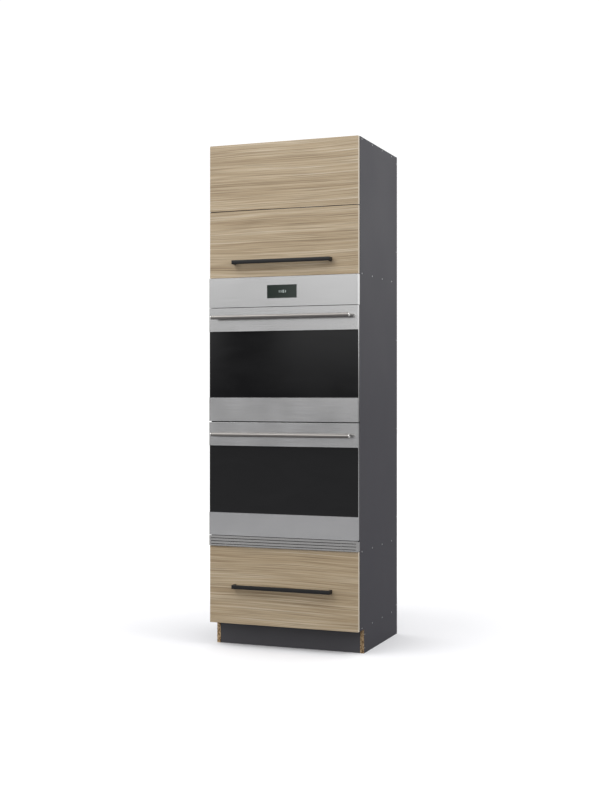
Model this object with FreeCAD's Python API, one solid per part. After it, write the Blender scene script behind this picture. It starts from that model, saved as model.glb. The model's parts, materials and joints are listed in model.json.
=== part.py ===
import FreeCAD, Part
import math
import os

V = FreeCAD.Vector

# A tall kitchen unit: a board carcase with a bi-fold lift-up flap at the top, a built-in double
# oven in the middle, a drawer below it and a recessed plinth.
# X runs across the front and is zero in the middle. Z is up and is zero on the floor.
# While modelling, Y is zero on the carcase's front edge and grows towards the wall. The finished
# pieces are moved along Y by frame_shift, so that the origin is in the middle of the footprint.

# ---------------------------------------------------------------- carcase
unit_width = 762.0
unit_height = 2434.0
carcase_depth = 600.0
board = 19.0                    # carcase board
toe_height = 114.0
toe_depth = 62.0
plinth_setback = 2.0            # plinth face behind the edge of the notch
drawer_bay_height = 342.0
oven_bay_height = 1289.0
loose_fit = 1.0                 # each side of a loose shelf

# ---------------------------------------------------------------- panel screws and shelf pins
screw_head_r = 4.0
screw_tip_r = 2.5
screw_length = 44.0
screw_row_count = 4
screw_row_front = 33.0          # first screw behind the carcase's front edge
screw_row_back = 93.0           # last screw in front of the carcase's rear edge
back_screw_count = 6
back_screw_inset = 15.5
plinth_screw_inset = 25.0
pin_r = 2.5
pin_depth = 9.0
pin_reach = 11.0
pin_seat_width = 8.0
pin_seat_height = 5.0
pin_hole_rows = 3
pin_hole_pitch = 64.0
pin_inset = 75.0                # from the loose shelf's front and rear edges
shelf_setback = 62.0            # loose shelf behind the carcase's front edge

small_sides = 8                 # faces round a small piece that repeats
turned_sides = 12               # faces round eyes, stubs, shafts and posts
rod_sides = 6                   # faces round the rods of the racks and heating tubes
bar_sides = 4                   # faces round the thin bars of the racks
screw_sides = 5                 # faces round a panel screw
disc_sides = 16                 # faces round a fan disc or a motor can

# ---------------------------------------------------------------- back panel
service_width = 480.0
service_height = 190.0
service_rise = 60.0             # above the oven bay's floor
service_corner_r = 25.0
wall_hole_r = 3.0
wall_hole_spacing = 500.0
wall_hole_drop = 35.0           # below the top panel

# ---------------------------------------------------------------- fronts
front_board = 19.0
front_gap = 4.5                 # air between the fronts and the carcase's edge
front_reveal = 0.5              # fronts stay inside the carcase's sides by this much
front_seam = 2.0                # gap between neighbouring fronts
front_top_drop = 2.0            # upper front below the carcase's top
front_edge_chamfer = 0.8

# ---------------------------------------------------------------- bar handles of the fronts
bar_length = 503.0
bar_height = 18.5
bar_thickness = 11.0
bar_projection = 35.0
bar_corner = 2.0                # bevel of the two outer corners
bar_edge = 1.0
flap_handle_rise = 71.5         # handle centre above the lower flap's bottom edge
drawer_handle_drop = 191.0      # handle centre below the drawer front's top edge
handle_screw_r = 2.0
handle_screw_head_r = 4.5
handle_screw_head = 2.4
handle_screw_bite = 12.0

# ---------------------------------------------------------------- flap hinges
leaf = 1.2                      # sheet of the hinge leaves
knuckle_r = 2.0
hinge_pin_r = 1.0
hinge_play = 0.05               # running clearance round hinge pins
hinge_width = 60.0
hinge_spacing = 480.0
knuckle_gap = 0.4
knuckle_relief = 0.6            # notch of a leaf round the other leaf's knuckle
top_leaf_drop = 42.0
top_leaf_depth = 38.0
centre_leaf_height = 38.0
hinge_below_edge = 1.0          # flap hinge axis below the upper front's top edge

# ---------------------------------------------------------------- flap lift
lift_box_thickness = 28.0
lift_box_depth = 138.0
lift_box_height = 122.0
lift_box_setback = 13.0
lift_box_drop = 8.0             # below the top panel
lift_box_corner_r = 12.0
lift_plate = 2.0
lift_plate_margin = 6.0
lift_rib_count = 4
link_in = 35.0                  # arm pivots behind the flap's hinge axes
link_down = 60.0                # arm pivots below the flap's hinge axes
arm_thickness = 5.0
arm_width = 15.0
arm_eye_r = 10.0
arm_pivot_r = 5.0
arm_end_pin_r = 4.0
arm_end_play = 0.15
arm_side_gap = 0.5
arm_rib_width = 5.0
arm_rib_height = 1.2
pivot_head_r = 8.0
pivot_head = 1.8
bracket_ear = 4.0
bracket_base = 2.0
bracket_width = 26.0
bracket_half_height = 22.0

# ---------------------------------------------------------------- drawer
drawer_board = 15.0
drawer_base_board = 8.0
drawer_groove = 6.0
drawer_base_rise = 12.0         # base above the lower edge of the drawer's sides
drawer_side_height = 236.0
drawer_side_rise = 22.0         # lower edge of the drawer's sides above the bottom panel
drawer_back_drop = 20.0         # back below the top of the sides
drawer_length = 500.0
side_top_r = 4.0

# ---------------------------------------------------------------- drawer runners
runner_thickness = 12.7
runner_height = 45.0
runner_sheet = 1.2
runner_play = 0.4
runner_rise = 96.0              # centre line above the lower edge of the drawer's sides
runner_rail_lap = 11.0
runner_setback = 3.0            # behind the carcase's front edge

# ---------------------------------------------------------------- oven, outside
oven_proud = 30.3               # oven face in front of the carcase's edge
oven_lap_low = 4.5              # oven face below the oven bay's floor
oven_lap_high = 3.5             # oven face above the oven bay's ceiling
fascia_height = 142.5
fascia_seam = 2.0
door_gap = 5.0                  # between the two doors
vent_height = 49.5
vent_seam = 2.0
vent_slot_height = 3.0
vent_slot_pitch = 14.0
vent_slot_inset = 9.0
vent_slot_count = 3
vent_rib_count = 3
vent_rib = 2.0
vent_rib_depth = 6.0
trim_sheet = 2.0
frame_sheet = 1.5
frame_proud = 3.0               # face of the front frame in front of the carcase's edge
air_slot_width = 560.0
air_slot_height = 22.0
air_slot_rise = 14.0
casing_side_clear = 3.0
casing_top_clear = 6.0
casing_rear_clear = 41.0        # air between the casing and the back panel
casing_sheet = 1.5
display_width = 152.0
display_height = 63.5
display_centre_drop = 71.5      # below the oven's top edge
display_bezel = 3.0
display_bezel_proud = 1.0
display_glass = 3.0
display_recess = 0.6

# ---------------------------------------------------------------- oven doors
door_thickness = 22.0
door_sheet = 1.5
door_edge_r = 2.0
round_back_steps = 4            # flats round the lower back edge of a door
glass_recess = 5.0
glass_thickness = 4.0
pivot_rise = 11.0               # door pivot above the door's lower edge
upper_band_top = 114.2          # steel band above the glass, upper door
upper_band_low = 114.2          # steel band below the glass, upper door
lower_band_top = 113.2
lower_band_low = 110.5
stile_width = 12.0
liner_inset = 3.0
plug_depth = 20.0
plug_side_clear = 5.0
plug_top_clear = 4.0
window_width = 430.0
window_height = 215.0
window_corner_r = 14.0
pane_lap = 9.0
inner_pane = 4.0
seal_width = 8.0
seal_gap = 0.2

# ---------------------------------------------------------------- oven door hinges
lug_spacing = 600.0
lug_thickness = 8.0
lug_half_height = 5.0
lug_foot = 2.0
lug_foot_half = 11.0
lug_side_gap = 0.5
pivot_pin_r = 3.5
pivot_play = 0.05
ear_thickness = 5.0
ear_half = 8.0

# ---------------------------------------------------------------- oven door handles
tube_r = 9.75
tube_length = 708.0
tube_standoff = 41.0            # tube axis in front of the oven face
post_r = 6.5
post_inset = 26.0
upper_tube_drop = 47.0          # tube axis below the door's top edge, upper door
lower_tube_drop = 58.7

# ---------------------------------------------------------------- oven cavities
cavity_width = 610.0
cavity_height = 410.0
cavity_rear_space = 69.5        # behind the cavity, for the fan's motor
cavity_wall = 2.0
cavity_corner_r = 18.0
cavity_rise = 85.0              # cavity floor above the door's lower edge
cavity_flange = 14.0
rack_rib_height = 9.0
rack_rib_top = 1.5              # flat left at the rib's inner edge
rack_rib_reach = 7.0
rack_rib_count = 5
rack_rib_first = 62.0
rack_rib_pitch = 68.0
rack_rib_setback = 24.0
rack_rib_rear = 32.5            # rib's end in front of the cavity's rear wall
rack_level = 2                  # the rib that carries the rack, counted from 0
rack_rod_r = 3.0
rack_bar_r = 2.0
rack_bar_count = 13
rack_side_clear = 1.5
rack_front_clear = 10.0         # behind the plug of the closed door
rack_rear_clear = 5.0           # in front of the fan's cover
rack_corner_r = 16.0
rack_weld = 1.1                 # how far a bar's round sinks into the frame's
rack_seat = 0.1
element_r = 3.5
element_drop = 26.0
element_legs = 4
element_pitch = 112.0
element_front = 70.0
element_rear_gap = 60.0

# ---------------------------------------------------------------- convection fans
fan_cover_half = 105.0
fan_cover_depth = 38.0
fan_cover_corner = 40.0
fan_cover_sheet = 1.5
fan_cover_shoulder = 10.0
fan_slot_count = 8
fan_slot_width = 7.0
fan_slot_inner = 30.0
fan_slot_outer = 84.0
fan_r = 78.0
fan_blades = 8
fan_blade_depth = 22.0
fan_blade_sheet = 1.5
fan_hub_r = 11.0
fan_wall_gap = 5.0
fan_shaft_r = 4.0
fan_shaft_play = 0.05
fan_shaft_length = 34.0
motor_r = 34.0
motor_length = 42.0
motor_end = 2.0                 # free depth beyond the shaft's end
shaft_hole_r = 7.0

# ---------------------------------------------------------------- levels and planes
outer_x = unit_width / 2
inner_x = outer_x - board
drawer_bay_z = toe_height + board
oven_shelf_z = drawer_bay_z + drawer_bay_height
oven_bay_z = oven_shelf_z + board
upper_shelf_z = oven_bay_z + oven_bay_height
flap_bay_z = upper_shelf_z + board
top_panel_z = unit_height - board
back_y = carcase_depth - board
plinth_y = toe_depth + plinth_setback
loose_shelf_z = (flap_bay_z + top_panel_z - board) / 2

front_back_y = -front_gap
front_face_y = front_back_y - front_board
front_half = outer_x - front_reveal
casing_rear_y = back_y - casing_rear_clear
oven_low_z = oven_bay_z - oven_lap_low
oven_high_z = upper_shelf_z + oven_lap_high
upper_front_top = unit_height - front_top_drop
lower_front_low = oven_high_z + front_seam
seam_z = (upper_front_top + lower_front_low) / 2
drawer_front_top = oven_low_z - front_seam
drawer_front_low = toe_height

oven_face_y = -oven_proud
door_back_y = oven_face_y + door_thickness
frame_face_y = -frame_proud
frame_back_y = frame_face_y + frame_sheet
pivot_y = door_back_y - pivot_rise
cavity_rear_y = casing_rear_y - cavity_rear_space - cavity_wall
vent_top_z = oven_low_z + vent_height
fascia_low_z = oven_high_z - fascia_height
door_low_z = vent_top_z + vent_seam
doors_high_z = fascia_low_z - fascia_seam
door_height = (doors_high_z - door_low_z - door_gap) / 2
upper_door_z = door_low_z + door_height + door_gap

hinge_y = front_back_y / 2
hinge_z = upper_front_top - hinge_below_edge
link_y = hinge_y + link_in
link_top_z = hinge_z - link_down
link_low_z = seam_z - link_down

handle_front_y = oven_face_y - tube_standoff - tube_r
frame_shift = -(carcase_depth + handle_front_y) / 2


# ---------------------------------------------------------------- shape helpers
def box(x0, x1, y0, y1, z0, z1):
    return Part.makeBox(x1 - x0, y1 - y0, z1 - z0, V(x0, y0, z0))


def rod_x(r, x0, x1, y, z):
    return Part.makeCylinder(r, x1 - x0, V(x0, y, z), V(1, 0, 0))


def rod_y(r, x, y0, y1, z):
    return Part.makeCylinder(r, y1 - y0, V(x, y0, z), V(0, 1, 0))


def ring_points(r, sides):
    """Corners of a regular outline that holds a circle's width across its flats' corners."""
    turns = [2 * math.pi * (i + 0.5) / sides for i in range(sides)]
    return [(r * math.cos(t), r * math.sin(t)) for t in turns]


def flat_face(corners):
    return Part.Face(Part.makePolygon(corners + corners[:1]))


def stacked(rings):
    """A solid through matching flat outlines, with flat sides between them."""
    faces = [flat_face(rings[0]), flat_face(rings[-1])]
    for near, far in zip(rings, rings[1:]):
        for i, corner in enumerate(near):
            faces.append(flat_face([near[i - 1], corner, far[i], far[i - 1]]))
    return Part.Solid(Part.Shell(faces))


def stud_x(r, x0, x1, y, z, sides=small_sides):
    """A many-sided rod along X."""
    corners = [V(x0, y + a, z + b) for a, b in ring_points(r, sides)]
    return flat_face(corners).extrude(V(x1 - x0, 0, 0))


def stud_y(r, x, y0, y1, z, sides=small_sides):
    """A many-sided rod along Y."""
    corners = [V(x + a, y0, z + b) for a, b in ring_points(r, sides)]
    return flat_face(corners).extrude(V(0, y1 - y0, 0))


def over_flats(r):
    """Corner radius of a many-sided bore whose flats clear a pin of radius r."""
    return r / math.cos(math.pi / turned_sides)


def eased(points, bend_r, closed):
    """Replace each square corner of a level path by three short turns."""
    path = []
    count = len(points)
    tight = bend_r * (1 - math.tan(math.pi / 12))
    for i, corner in enumerate(points):
        if not closed and i in (0, count - 1):
            path.append(corner)
            continue
        back = (points[i - 1] - corner).normalize()
        onward = (points[(i + 1) % count] - corner).normalize()
        middle = corner + (back + onward) * (bend_r * (1 - math.sqrt(0.75)))
        slant = (back - onward) * (bend_r / 2 - tight / 2)
        path += [corner + back * bend_r, middle + slant, middle - slant, corner + onward * bend_r]
    return path


def distinct(path):
    """A closed path without the points that repeat the one before them."""
    return [b for a, b in zip(path[-1:] + path, path) if not a.isEqual(b, 1e-6)]


def bent_rod(points, bend_r, r, closed=False):
    """A wire in a level plane along points, its corners eased to about one radius."""
    path = distinct(eased(points, bend_r, closed))
    start = path[0]
    along = (path[1] - start).normalize()
    across = V(-along.y, along.x, 0)
    corners = [start + across * p + V(0, 0, q) for p, q in ring_points(r, rod_sides)]
    ring = Part.makePolygon(corners + corners[:1])
    spine = Part.makePolygon(path + path[:1] if closed else path)
    return spine.makePipeShell([ring], True, False, 1)


def prism_x(points, x0, x1):
    return flat_face([V(x0, y, z) for y, z in points]).extrude(V(x1 - x0, 0, 0))


def rounded_box_y(half_x, y0, y1, z0, z1, r):
    """A box centred on X whose four edges along Y are eased by three flats each."""
    corners = [V(half_x, y0, z0), V(half_x, y0, z1), V(-half_x, y0, z1), V(-half_x, y0, z0)]
    return flat_face(eased(corners, r, True)).extrude(V(0, y1 - y0, 0))


def mirrored(shape):
    return shape.mirror(V(0, 0, 0), V(1, 0, 0))


def pair(shape):
    return [shape, mirrored(shape)]


def fuse(shapes):
    return shapes[0].multiFuse(shapes[1:]).removeSplitter()


def cut(shape, tools):
    return shape.cut(Part.makeCompound(tools))


def spread(first, last, count):
    step = (last - first) / (count - 1)
    return [first + i * step for i in range(count)]


def save(name, shapes):
    """One piece, or a group of separate solids, goes to its own file."""
    group = shapes if isinstance(shapes, list) else [shapes]
    solids = [solid for shape in group for solid in shape.Solids]
    body = solids[0] if len(solids) == 1 else Part.makeCompound(solids)
    body.translate(V(0, frame_shift, 0))
    body.exportStep(os.path.join("parts", name + ".step"))


# ---------------------------------------------------------------- carcase pieces
def panel_screw_places():
    """Y, Z of every screw through one side panel."""
    rows = [toe_height, oven_shelf_z, upper_shelf_z, top_panel_z]
    along = spread(screw_row_front, carcase_depth - screw_row_back, screw_row_count)
    places = [(y, z + board / 2) for z in rows for y in along]
    low = drawer_bay_z + back_screw_inset
    high = top_panel_z - back_screw_inset
    places += [(carcase_depth - board / 2, z) for z in spread(low, high, back_screw_count)]
    plinth_line = plinth_y + board / 2
    places += [(plinth_line, z) for z in (plinth_screw_inset, toe_height - plinth_screw_inset)]
    return places


def panel_screw(y, z):
    """A tapered screw, flush with the outside of the right side panel."""
    ends = ((outer_x - screw_length, screw_tip_r), (outer_x, screw_head_r))
    return stacked([[V(x, y + a, z + b) for a, b in ring_points(r, screw_sides)] for x, r in ends])


def panel_screws():
    right = [panel_screw(y, z) for y, z in panel_screw_places()]
    return right + [mirrored(screw) for screw in right]


def pin_places():
    low = loose_shelf_z - pin_seat_height / 2
    first = shelf_setback + pin_inset
    last = back_y - loose_fit - pin_inset
    return [(y, low) for y in (first, last)]


def shelf_pin(y, z):
    stud = stud_x(pin_r, inner_x, inner_x + pin_depth, y, z)
    seat_y = (y - pin_seat_width / 2, y + pin_seat_width / 2)
    seat_z = (z - pin_seat_height / 2, z + pin_seat_height / 2)
    seat = box(inner_x - pin_reach, inner_x, *seat_y, *seat_z)
    return stud.fuse(seat).removeSplitter()


def side_panel():
    """The right side: one board with the toe notch, screw holes and a few pin holes."""
    profile = [(0, toe_height), (toe_depth, toe_height), (toe_depth, 0), (carcase_depth, 0)]
    profile += [(carcase_depth, unit_height), (0, unit_height)]
    panel = prism_x(profile, inner_x, outer_x)
    holes = [panel_screw(y, z) for y, z in panel_screw_places()]
    middle = (pin_hole_rows - 1) / 2
    for y, z in pin_places():
        for row in range(pin_hole_rows):
            level = z + (row - middle) * pin_hole_pitch
            holes.append(stud_x(pin_r, inner_x, inner_x + pin_depth, y, level))
    return cut(panel, holes)


def fixed_panel(y0, y1, z0, z1, screws):
    panel = box(-inner_x, inner_x, y0, y1, z0, z1)
    return cut(panel, screws)


def back_panel(screws):
    panel = fixed_panel(back_y, carcase_depth, drawer_bay_z, top_panel_z, screws)
    low = oven_bay_z + service_rise
    span = (back_y, carcase_depth, low, low + service_height)
    service = rounded_box_y(service_width / 2, *span, service_corner_r)
    wall_z = top_panel_z - wall_hole_drop
    holes = pair(rod_y(wall_hole_r, wall_hole_spacing / 2, back_y, carcase_depth, wall_z))
    return cut(panel, [service] + holes)


def carcase():
    screws = panel_screws()
    right = side_panel()
    save("side_panel_right", right)
    save("side_panel_left", mirrored(right))
    save("bottom_panel", fixed_panel(0, carcase_depth, toe_height, drawer_bay_z, screws))
    save("oven_shelf", fixed_panel(0, back_y, oven_shelf_z, oven_bay_z, screws))
    save("upper_shelf", fixed_panel(0, back_y, upper_shelf_z, flap_bay_z, screws))
    save("top_panel", fixed_panel(0, carcase_depth, top_panel_z, unit_height, screws))
    save("back_panel", back_panel(screws))
    save("plinth_board", fixed_panel(plinth_y, plinth_y + board, 0, toe_height, screws))
    half = inner_x - loose_fit
    shelf_z = (loose_shelf_z, loose_shelf_z + board)
    save("adjustable_shelf", box(-half, half, shelf_setback, back_y - loose_fit, *shelf_z))
    save("shelf_pins", [pin for y, z in pin_places() for pin in pair(shelf_pin(y, z))])
    save("panel_screws", screws)


# ---------------------------------------------------------------- fronts and their handles
def front(z0, z1):
    """A front board whose face has a fine bevel all round."""
    slab = box(-front_half, front_half, front_face_y, front_back_y, z0, z1)
    edges = [e for e in slab.Edges if e.BoundBox.YMax < front_face_y + 0.01]
    return slab.makeChamfer(front_edge_chamfer, edges)


def post_x():
    return bar_length / 2 - bar_thickness / 2


def bar_handle(z):
    """A U of flat bar: one long grip and two posts, with bevelled outer corners."""
    half = bar_length / 2
    z0 = z - bar_height / 2
    front_y = front_face_y - bar_projection
    outer = box(-half, half, front_y, front_face_y, z0, z0 + bar_height)
    bends = [e for e in outer.Edges if e.Length < bar_height + 0.1 and e.BoundBox.YMax < front_y + 0.1
             and abs(e.tangentAt(e.FirstParameter).z) > 0.99]
    outer = outer.makeChamfer(bar_corner, bends)
    gap_half = half - bar_thickness
    gap = box(-gap_half, gap_half, front_y + bar_thickness, front_face_y, z0, z0 + bar_height)
    handle = outer.cut(gap)
    grip = [e for e in handle.Edges if e.BoundBox.YMax < front_y + 0.1 and e.Length > half]
    handle = handle.makeChamfer(bar_edge, grip)
    bite = (front_face_y - handle_screw_bite, front_face_y)
    return cut(handle, pair(stud_y(handle_screw_r, post_x(), *bite, z)))


def handle_screws(z):
    head = stud_y(handle_screw_head_r, post_x(), front_back_y, front_back_y + handle_screw_head, z)
    shank = stud_y(handle_screw_r, post_x(), front_face_y - handle_screw_bite, front_back_y, z)
    return pair(head.fuse(shank))


def drilled_front(z0, z1, handle_z):
    holes = pair(stud_y(handle_screw_r, post_x(), front_face_y, front_back_y, handle_z))
    return cut(front(z0, z1), holes)


# ---------------------------------------------------------------- flap hinges
def knuckle_spans(centre):
    """X spans of three knuckles, the outer two on one leaf and the middle one on the other."""
    low = centre - hinge_width / 2
    third = hinge_width / 3
    outer = [(low, low + third), (low + 2 * third, low + 3 * third)]
    middle = (low + third + knuckle_gap, low + 2 * third - knuckle_gap)
    return outer, middle


def knuckle_leaf(plates, spans, other_spans, axis_z, has_pin, centre):
    """A leaf: its plates, notched round the other leaf's knuckles, and its own knuckles."""
    reach = knuckle_r + knuckle_relief
    body = fuse(plates) if len(plates) > 1 else plates[0]
    bite_y = (front_back_y, leaf)
    notches = [box(a - knuckle_gap, b + knuckle_gap, *bite_y, axis_z - reach, axis_z + reach)
               for a, b in other_spans]
    body = cut(body, notches)
    knuckles = [stud_x(knuckle_r, a, b, hinge_y, axis_z) for a, b in spans]
    body = fuse([body] + knuckles)
    half = hinge_width / 2
    if has_pin:
        return fuse([body, stud_x(hinge_pin_r, centre - half, centre + half, hinge_y, axis_z)])
    bore = rod_x(hinge_pin_r + hinge_play, centre - half, centre + half, hinge_y, axis_z)
    return body.cut(bore)


def top_hinge(centre):
    """A cranked hinge: its fixed leaf lies under the top panel and turns up in the gap."""
    half = hinge_width / 2
    x = (centre - half, centre + half)
    outer, middle = knuckle_spans(centre)
    under = box(*x, -leaf, top_leaf_depth, top_panel_z - leaf, top_panel_z)
    riser = box(*x, -leaf, 0, top_panel_z - leaf, hinge_z + knuckle_r)
    fixed = knuckle_leaf([under, riser], outer, [middle], hinge_z, True, centre)
    plate = box(*x, front_back_y, front_back_y + leaf, hinge_z - top_leaf_drop, hinge_z)
    moving = knuckle_leaf([plate], [middle], outer, hinge_z, False, centre)
    return fixed, moving


def centre_hinge(centre):
    """A butt hinge on the back faces of the two flap fronts."""
    half = hinge_width / 2
    x = (centre - half, centre + half)
    sheet_y = (front_back_y, front_back_y + leaf)
    outer, middle = knuckle_spans(centre)
    above = box(*x, *sheet_y, seam_z, seam_z + centre_leaf_height)
    below = box(*x, *sheet_y, seam_z - centre_leaf_height, seam_z)
    upper = knuckle_leaf([above], outer, [middle], seam_z, True, centre)
    lower = knuckle_leaf([below], [middle], outer, seam_z, False, centre)
    return upper, lower


# ---------------------------------------------------------------- flap lift
def arm_x():
    """X span of the right-hand lift arm, beside its box."""
    outside = inner_x - lift_box_thickness - arm_side_gap
    return outside - arm_thickness, outside


def lift_box():
    """The spring housing on the right side panel, with the stub that carries the arm."""
    face_x = inner_x - lift_box_thickness
    y = (lift_box_setback, lift_box_setback + lift_box_depth)
    high = top_panel_z - lift_box_drop
    z = (high - lift_box_height, high)
    margin = lift_plate_margin
    plate_z = (z[0] - margin, z[1] + margin)
    plate = box(inner_x - lift_plate, inner_x, y[0], y[1] + margin, *plate_z)
    corners = [V(face_x, a, b) for a, b in ((y[0], z[0]), (y[1], z[0]), (y[1], z[1]), (y[0], z[1]))]
    outline = flat_face(eased(corners, lift_box_corner_r, True))
    body = outline.extrude(V(inner_x - lift_plate - face_x, 0, 0))
    grooves = []
    rib_y = (y[0] + 2 * arm_eye_r + link_in / 2, y[1] - lift_box_corner_r)
    for level in spread(z[0] + lift_box_corner_r, z[1] - lift_box_corner_r, lift_rib_count):
        grooves.append(box(face_x, face_x + lift_plate, *rib_y, level - lift_plate, level + lift_plate))
    body = cut(body, grooves)
    arm_in, arm_out = arm_x()
    stub = stud_x(arm_pivot_r, arm_in - arm_side_gap, face_x, link_y, link_top_z, turned_sides)
    head_x = (arm_in - arm_side_gap - pivot_head, arm_in - arm_side_gap)
    head = stud_x(pivot_head_r, *head_x, link_y, link_top_z)
    return fuse([plate, body, stub, head])


def lift_arm():
    """The right-hand arm: a flat bar with an eye at each end and a pressed rib."""
    x = arm_x()
    z = (link_low_z, link_top_z)
    half = arm_width / 2
    bar = box(*x, link_y - half, link_y + half, *z)
    eyes = [stud_x(arm_eye_r, *x, link_y, level, turned_sides) for level in z]
    rib_half = arm_rib_width / 2
    rib_z = (z[0] + 2 * arm_eye_r, z[1] - 2 * arm_eye_r)
    rib = box(x[0] - arm_rib_height, x[0], link_y - rib_half, link_y + rib_half, *rib_z)
    arm = fuse([bar, rib] + eyes)
    low_r = over_flats(arm_end_pin_r + arm_end_play)
    top_bore = rod_x(arm_pivot_r + hinge_play, *x, link_y, link_top_z)
    low_bore = stud_x(low_r, *x, link_y, link_low_z, turned_sides)
    return cut(arm, [top_bore, low_bore])


def arm_bracket():
    """The angle on the lower front's back that carries the end of the right-hand arm."""
    arm_in, arm_out = arm_x()
    ear_out = arm_in - arm_rib_height - arm_side_gap
    ear_x = (ear_out - bracket_ear, ear_out)
    z = (link_low_z - bracket_half_height, link_low_z + bracket_half_height)
    sheet_y = (front_back_y, front_back_y + bracket_base)
    base = box(ear_out - bracket_width, ear_out, *sheet_y, *z)
    ear_points = [(front_back_y, z[0]), (link_y, link_low_z - arm_eye_r)]
    ear_points += [(link_y, link_low_z + arm_eye_r), (front_back_y, z[1])]
    ear = prism_x(ear_points, *ear_x)
    nose = stud_x(arm_eye_r, *ear_x, link_y, link_low_z, turned_sides)
    pin = stud_x(arm_end_pin_r, ear_out, arm_out + arm_side_gap, link_y, link_low_z, turned_sides)
    head_x = (arm_out + arm_side_gap, arm_out + arm_side_gap + pivot_head)
    head = stud_x(arm_end_pin_r + pivot_head, *head_x, link_y, link_low_z)
    return fuse([base, ear, nose, pin, head])


def flap():
    handle_z = lower_front_low + flap_handle_rise
    half_seam = front_seam / 2
    save("flap_front_upper", front(seam_z + half_seam, upper_front_top))
    save("flap_front_lower", drilled_front(lower_front_low, seam_z - half_seam, handle_z))
    save("flap_handle", bar_handle(handle_z))
    save("flap_handle_screws", handle_screws(handle_z))
    places = (-hinge_spacing / 2, hinge_spacing / 2)
    top_hinges = [top_hinge(x) for x in places]
    centre_hinges = [centre_hinge(x) for x in places]
    save("flap_hinge_fixed_leaves", [fixed for fixed, moving in top_hinges])
    save("flap_hinge_moving_leaves", [moving for fixed, moving in top_hinges])
    save("centre_hinge_upper_leaves", [upper for upper, lower in centre_hinges])
    save("centre_hinge_lower_leaves", [lower for upper, lower in centre_hinges])
    save("lift_boxes", pair(lift_box()))
    right_arm = lift_arm()
    save("lift_arm_right", right_arm)
    save("lift_arm_left", mirrored(right_arm))
    save("lift_arm_brackets", pair(arm_bracket()))


# ---------------------------------------------------------------- drawer
drawer_half = inner_x - runner_thickness
drawer_low_z = drawer_bay_z + drawer_side_rise
drawer_rear_y = front_back_y + drawer_length
drawer_base_z = drawer_low_z + drawer_base_rise
runner_z = drawer_low_z + runner_rise


def drawer_side():
    """The right side board, with a rounded top edge and the groove of the base."""
    x = (drawer_half - drawer_board, drawer_half)
    side = box(*x, front_back_y, drawer_rear_y, drawer_low_z, drawer_low_z + drawer_side_height)
    top = drawer_low_z + drawer_side_height
    edges = [e for e in side.Edges if e.BoundBox.ZMin > top - 0.01 and e.Length > drawer_board + 1]
    side = side.makeFillet(side_top_r, edges)
    groove_z = (drawer_base_z, drawer_base_z + drawer_base_board)
    return side.cut(box(x[0], x[0] + drawer_groove, front_back_y, drawer_rear_y, *groove_z))


def drawer_box():
    half = drawer_half - drawer_board
    right = drawer_side()
    save("drawer_side_right", right)
    save("drawer_side_left", mirrored(right))
    base_half = half + drawer_groove
    base_z = (drawer_base_z, drawer_base_z + drawer_base_board)
    save("drawer_base", box(-base_half, base_half, front_back_y, drawer_rear_y, *base_z))
    back_top = drawer_low_z + drawer_side_height - drawer_back_drop
    back_y_span = (drawer_rear_y - drawer_board, drawer_rear_y)
    save("drawer_back", box(-half, half, *back_y_span, base_z[1], back_top))
    handle_z = drawer_front_top - drawer_handle_drop
    save("drawer_front", drilled_front(drawer_front_low, drawer_front_top, handle_z))
    save("drawer_handle", bar_handle(handle_z))
    save("drawer_handle_screws", handle_screws(handle_z))


def channel(web, flange_end, half_height):
    """A drawer runner's channel: web and flange positions are measured from the side panel."""
    length_y = (runner_setback, runner_setback + drawer_length - front_gap)
    sheet = runner_sheet if flange_end > web else -runner_sheet
    web_u = sorted((web, web + sheet))
    flange_u = sorted((web, flange_end))
    parts = [box(inner_x - web_u[1], inner_x - web_u[0], *length_y,
                 runner_z - half_height, runner_z + half_height)]
    for z in (runner_z - half_height, runner_z + half_height - runner_sheet):
        parts.append(box(inner_x - flange_u[1], inner_x - flange_u[0], *length_y, z, z + runner_sheet))
    return fuse(parts)


def runners():
    half = runner_height / 2
    middle_web = runner_sheet + runner_play
    middle_half = half - runner_sheet - runner_play
    slide_half = middle_half - runner_sheet - runner_play
    slide_reach = middle_web + runner_sheet + runner_play
    middle_lap = runner_rail_lap + 2 * runner_play
    save("runner_rails", pair(channel(0, runner_rail_lap, half)))
    middle = channel(middle_web, middle_lap, middle_half)
    save("runner_middle_right", middle)
    save("runner_middle_left", mirrored(middle))
    save("runner_slides", pair(channel(runner_thickness, slide_reach, slide_half)))


# ---------------------------------------------------------------- oven body
def cavity_span(door_z):
    low = door_z + cavity_rise
    return low, low + cavity_height


def cavity_opening(door_z, y0, y1, grow=0.0):
    low, high = cavity_span(door_z)
    half = cavity_width / 2 + grow
    return rounded_box_y(half, y0, y1, low - grow, high + grow, cavity_corner_r + grow)


def oven_casing():
    half = inner_x - casing_side_clear
    high = upper_shelf_z - casing_top_clear
    sheet = casing_sheet
    outer = box(-half, half, frame_back_y, casing_rear_y, oven_bay_z, high)
    inside_z = (oven_bay_z + sheet, high - sheet)
    return outer.cut(box(sheet - half, half - sheet, frame_back_y, casing_rear_y - sheet, *inside_z))


def oven_front_frame():
    """A steel plate behind the doors, folded back to the carcase's edges all round."""
    plate = box(-outer_x, outer_x, frame_face_y, frame_back_y, oven_low_z, oven_high_z)
    rim = box(-outer_x, outer_x, frame_back_y, 0, oven_low_z, oven_high_z)
    sheet = frame_sheet
    inside_z = (oven_low_z + sheet / 2, oven_high_z - sheet / 2)
    rim = rim.cut(box(sheet - outer_x, outer_x - sheet, frame_back_y, 0, *inside_z))
    mouths = [cavity_opening(z, frame_face_y, frame_back_y) for z in (door_low_z, upper_door_z)]
    slot_z = (oven_low_z + air_slot_rise, oven_low_z + air_slot_rise + air_slot_height)
    slot_half = air_slot_width / 2
    air_slot = box(-slot_half, slot_half, frame_face_y, frame_back_y, *slot_z)
    return cut(fuse([plate, rim]), mouths + [air_slot])


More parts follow.
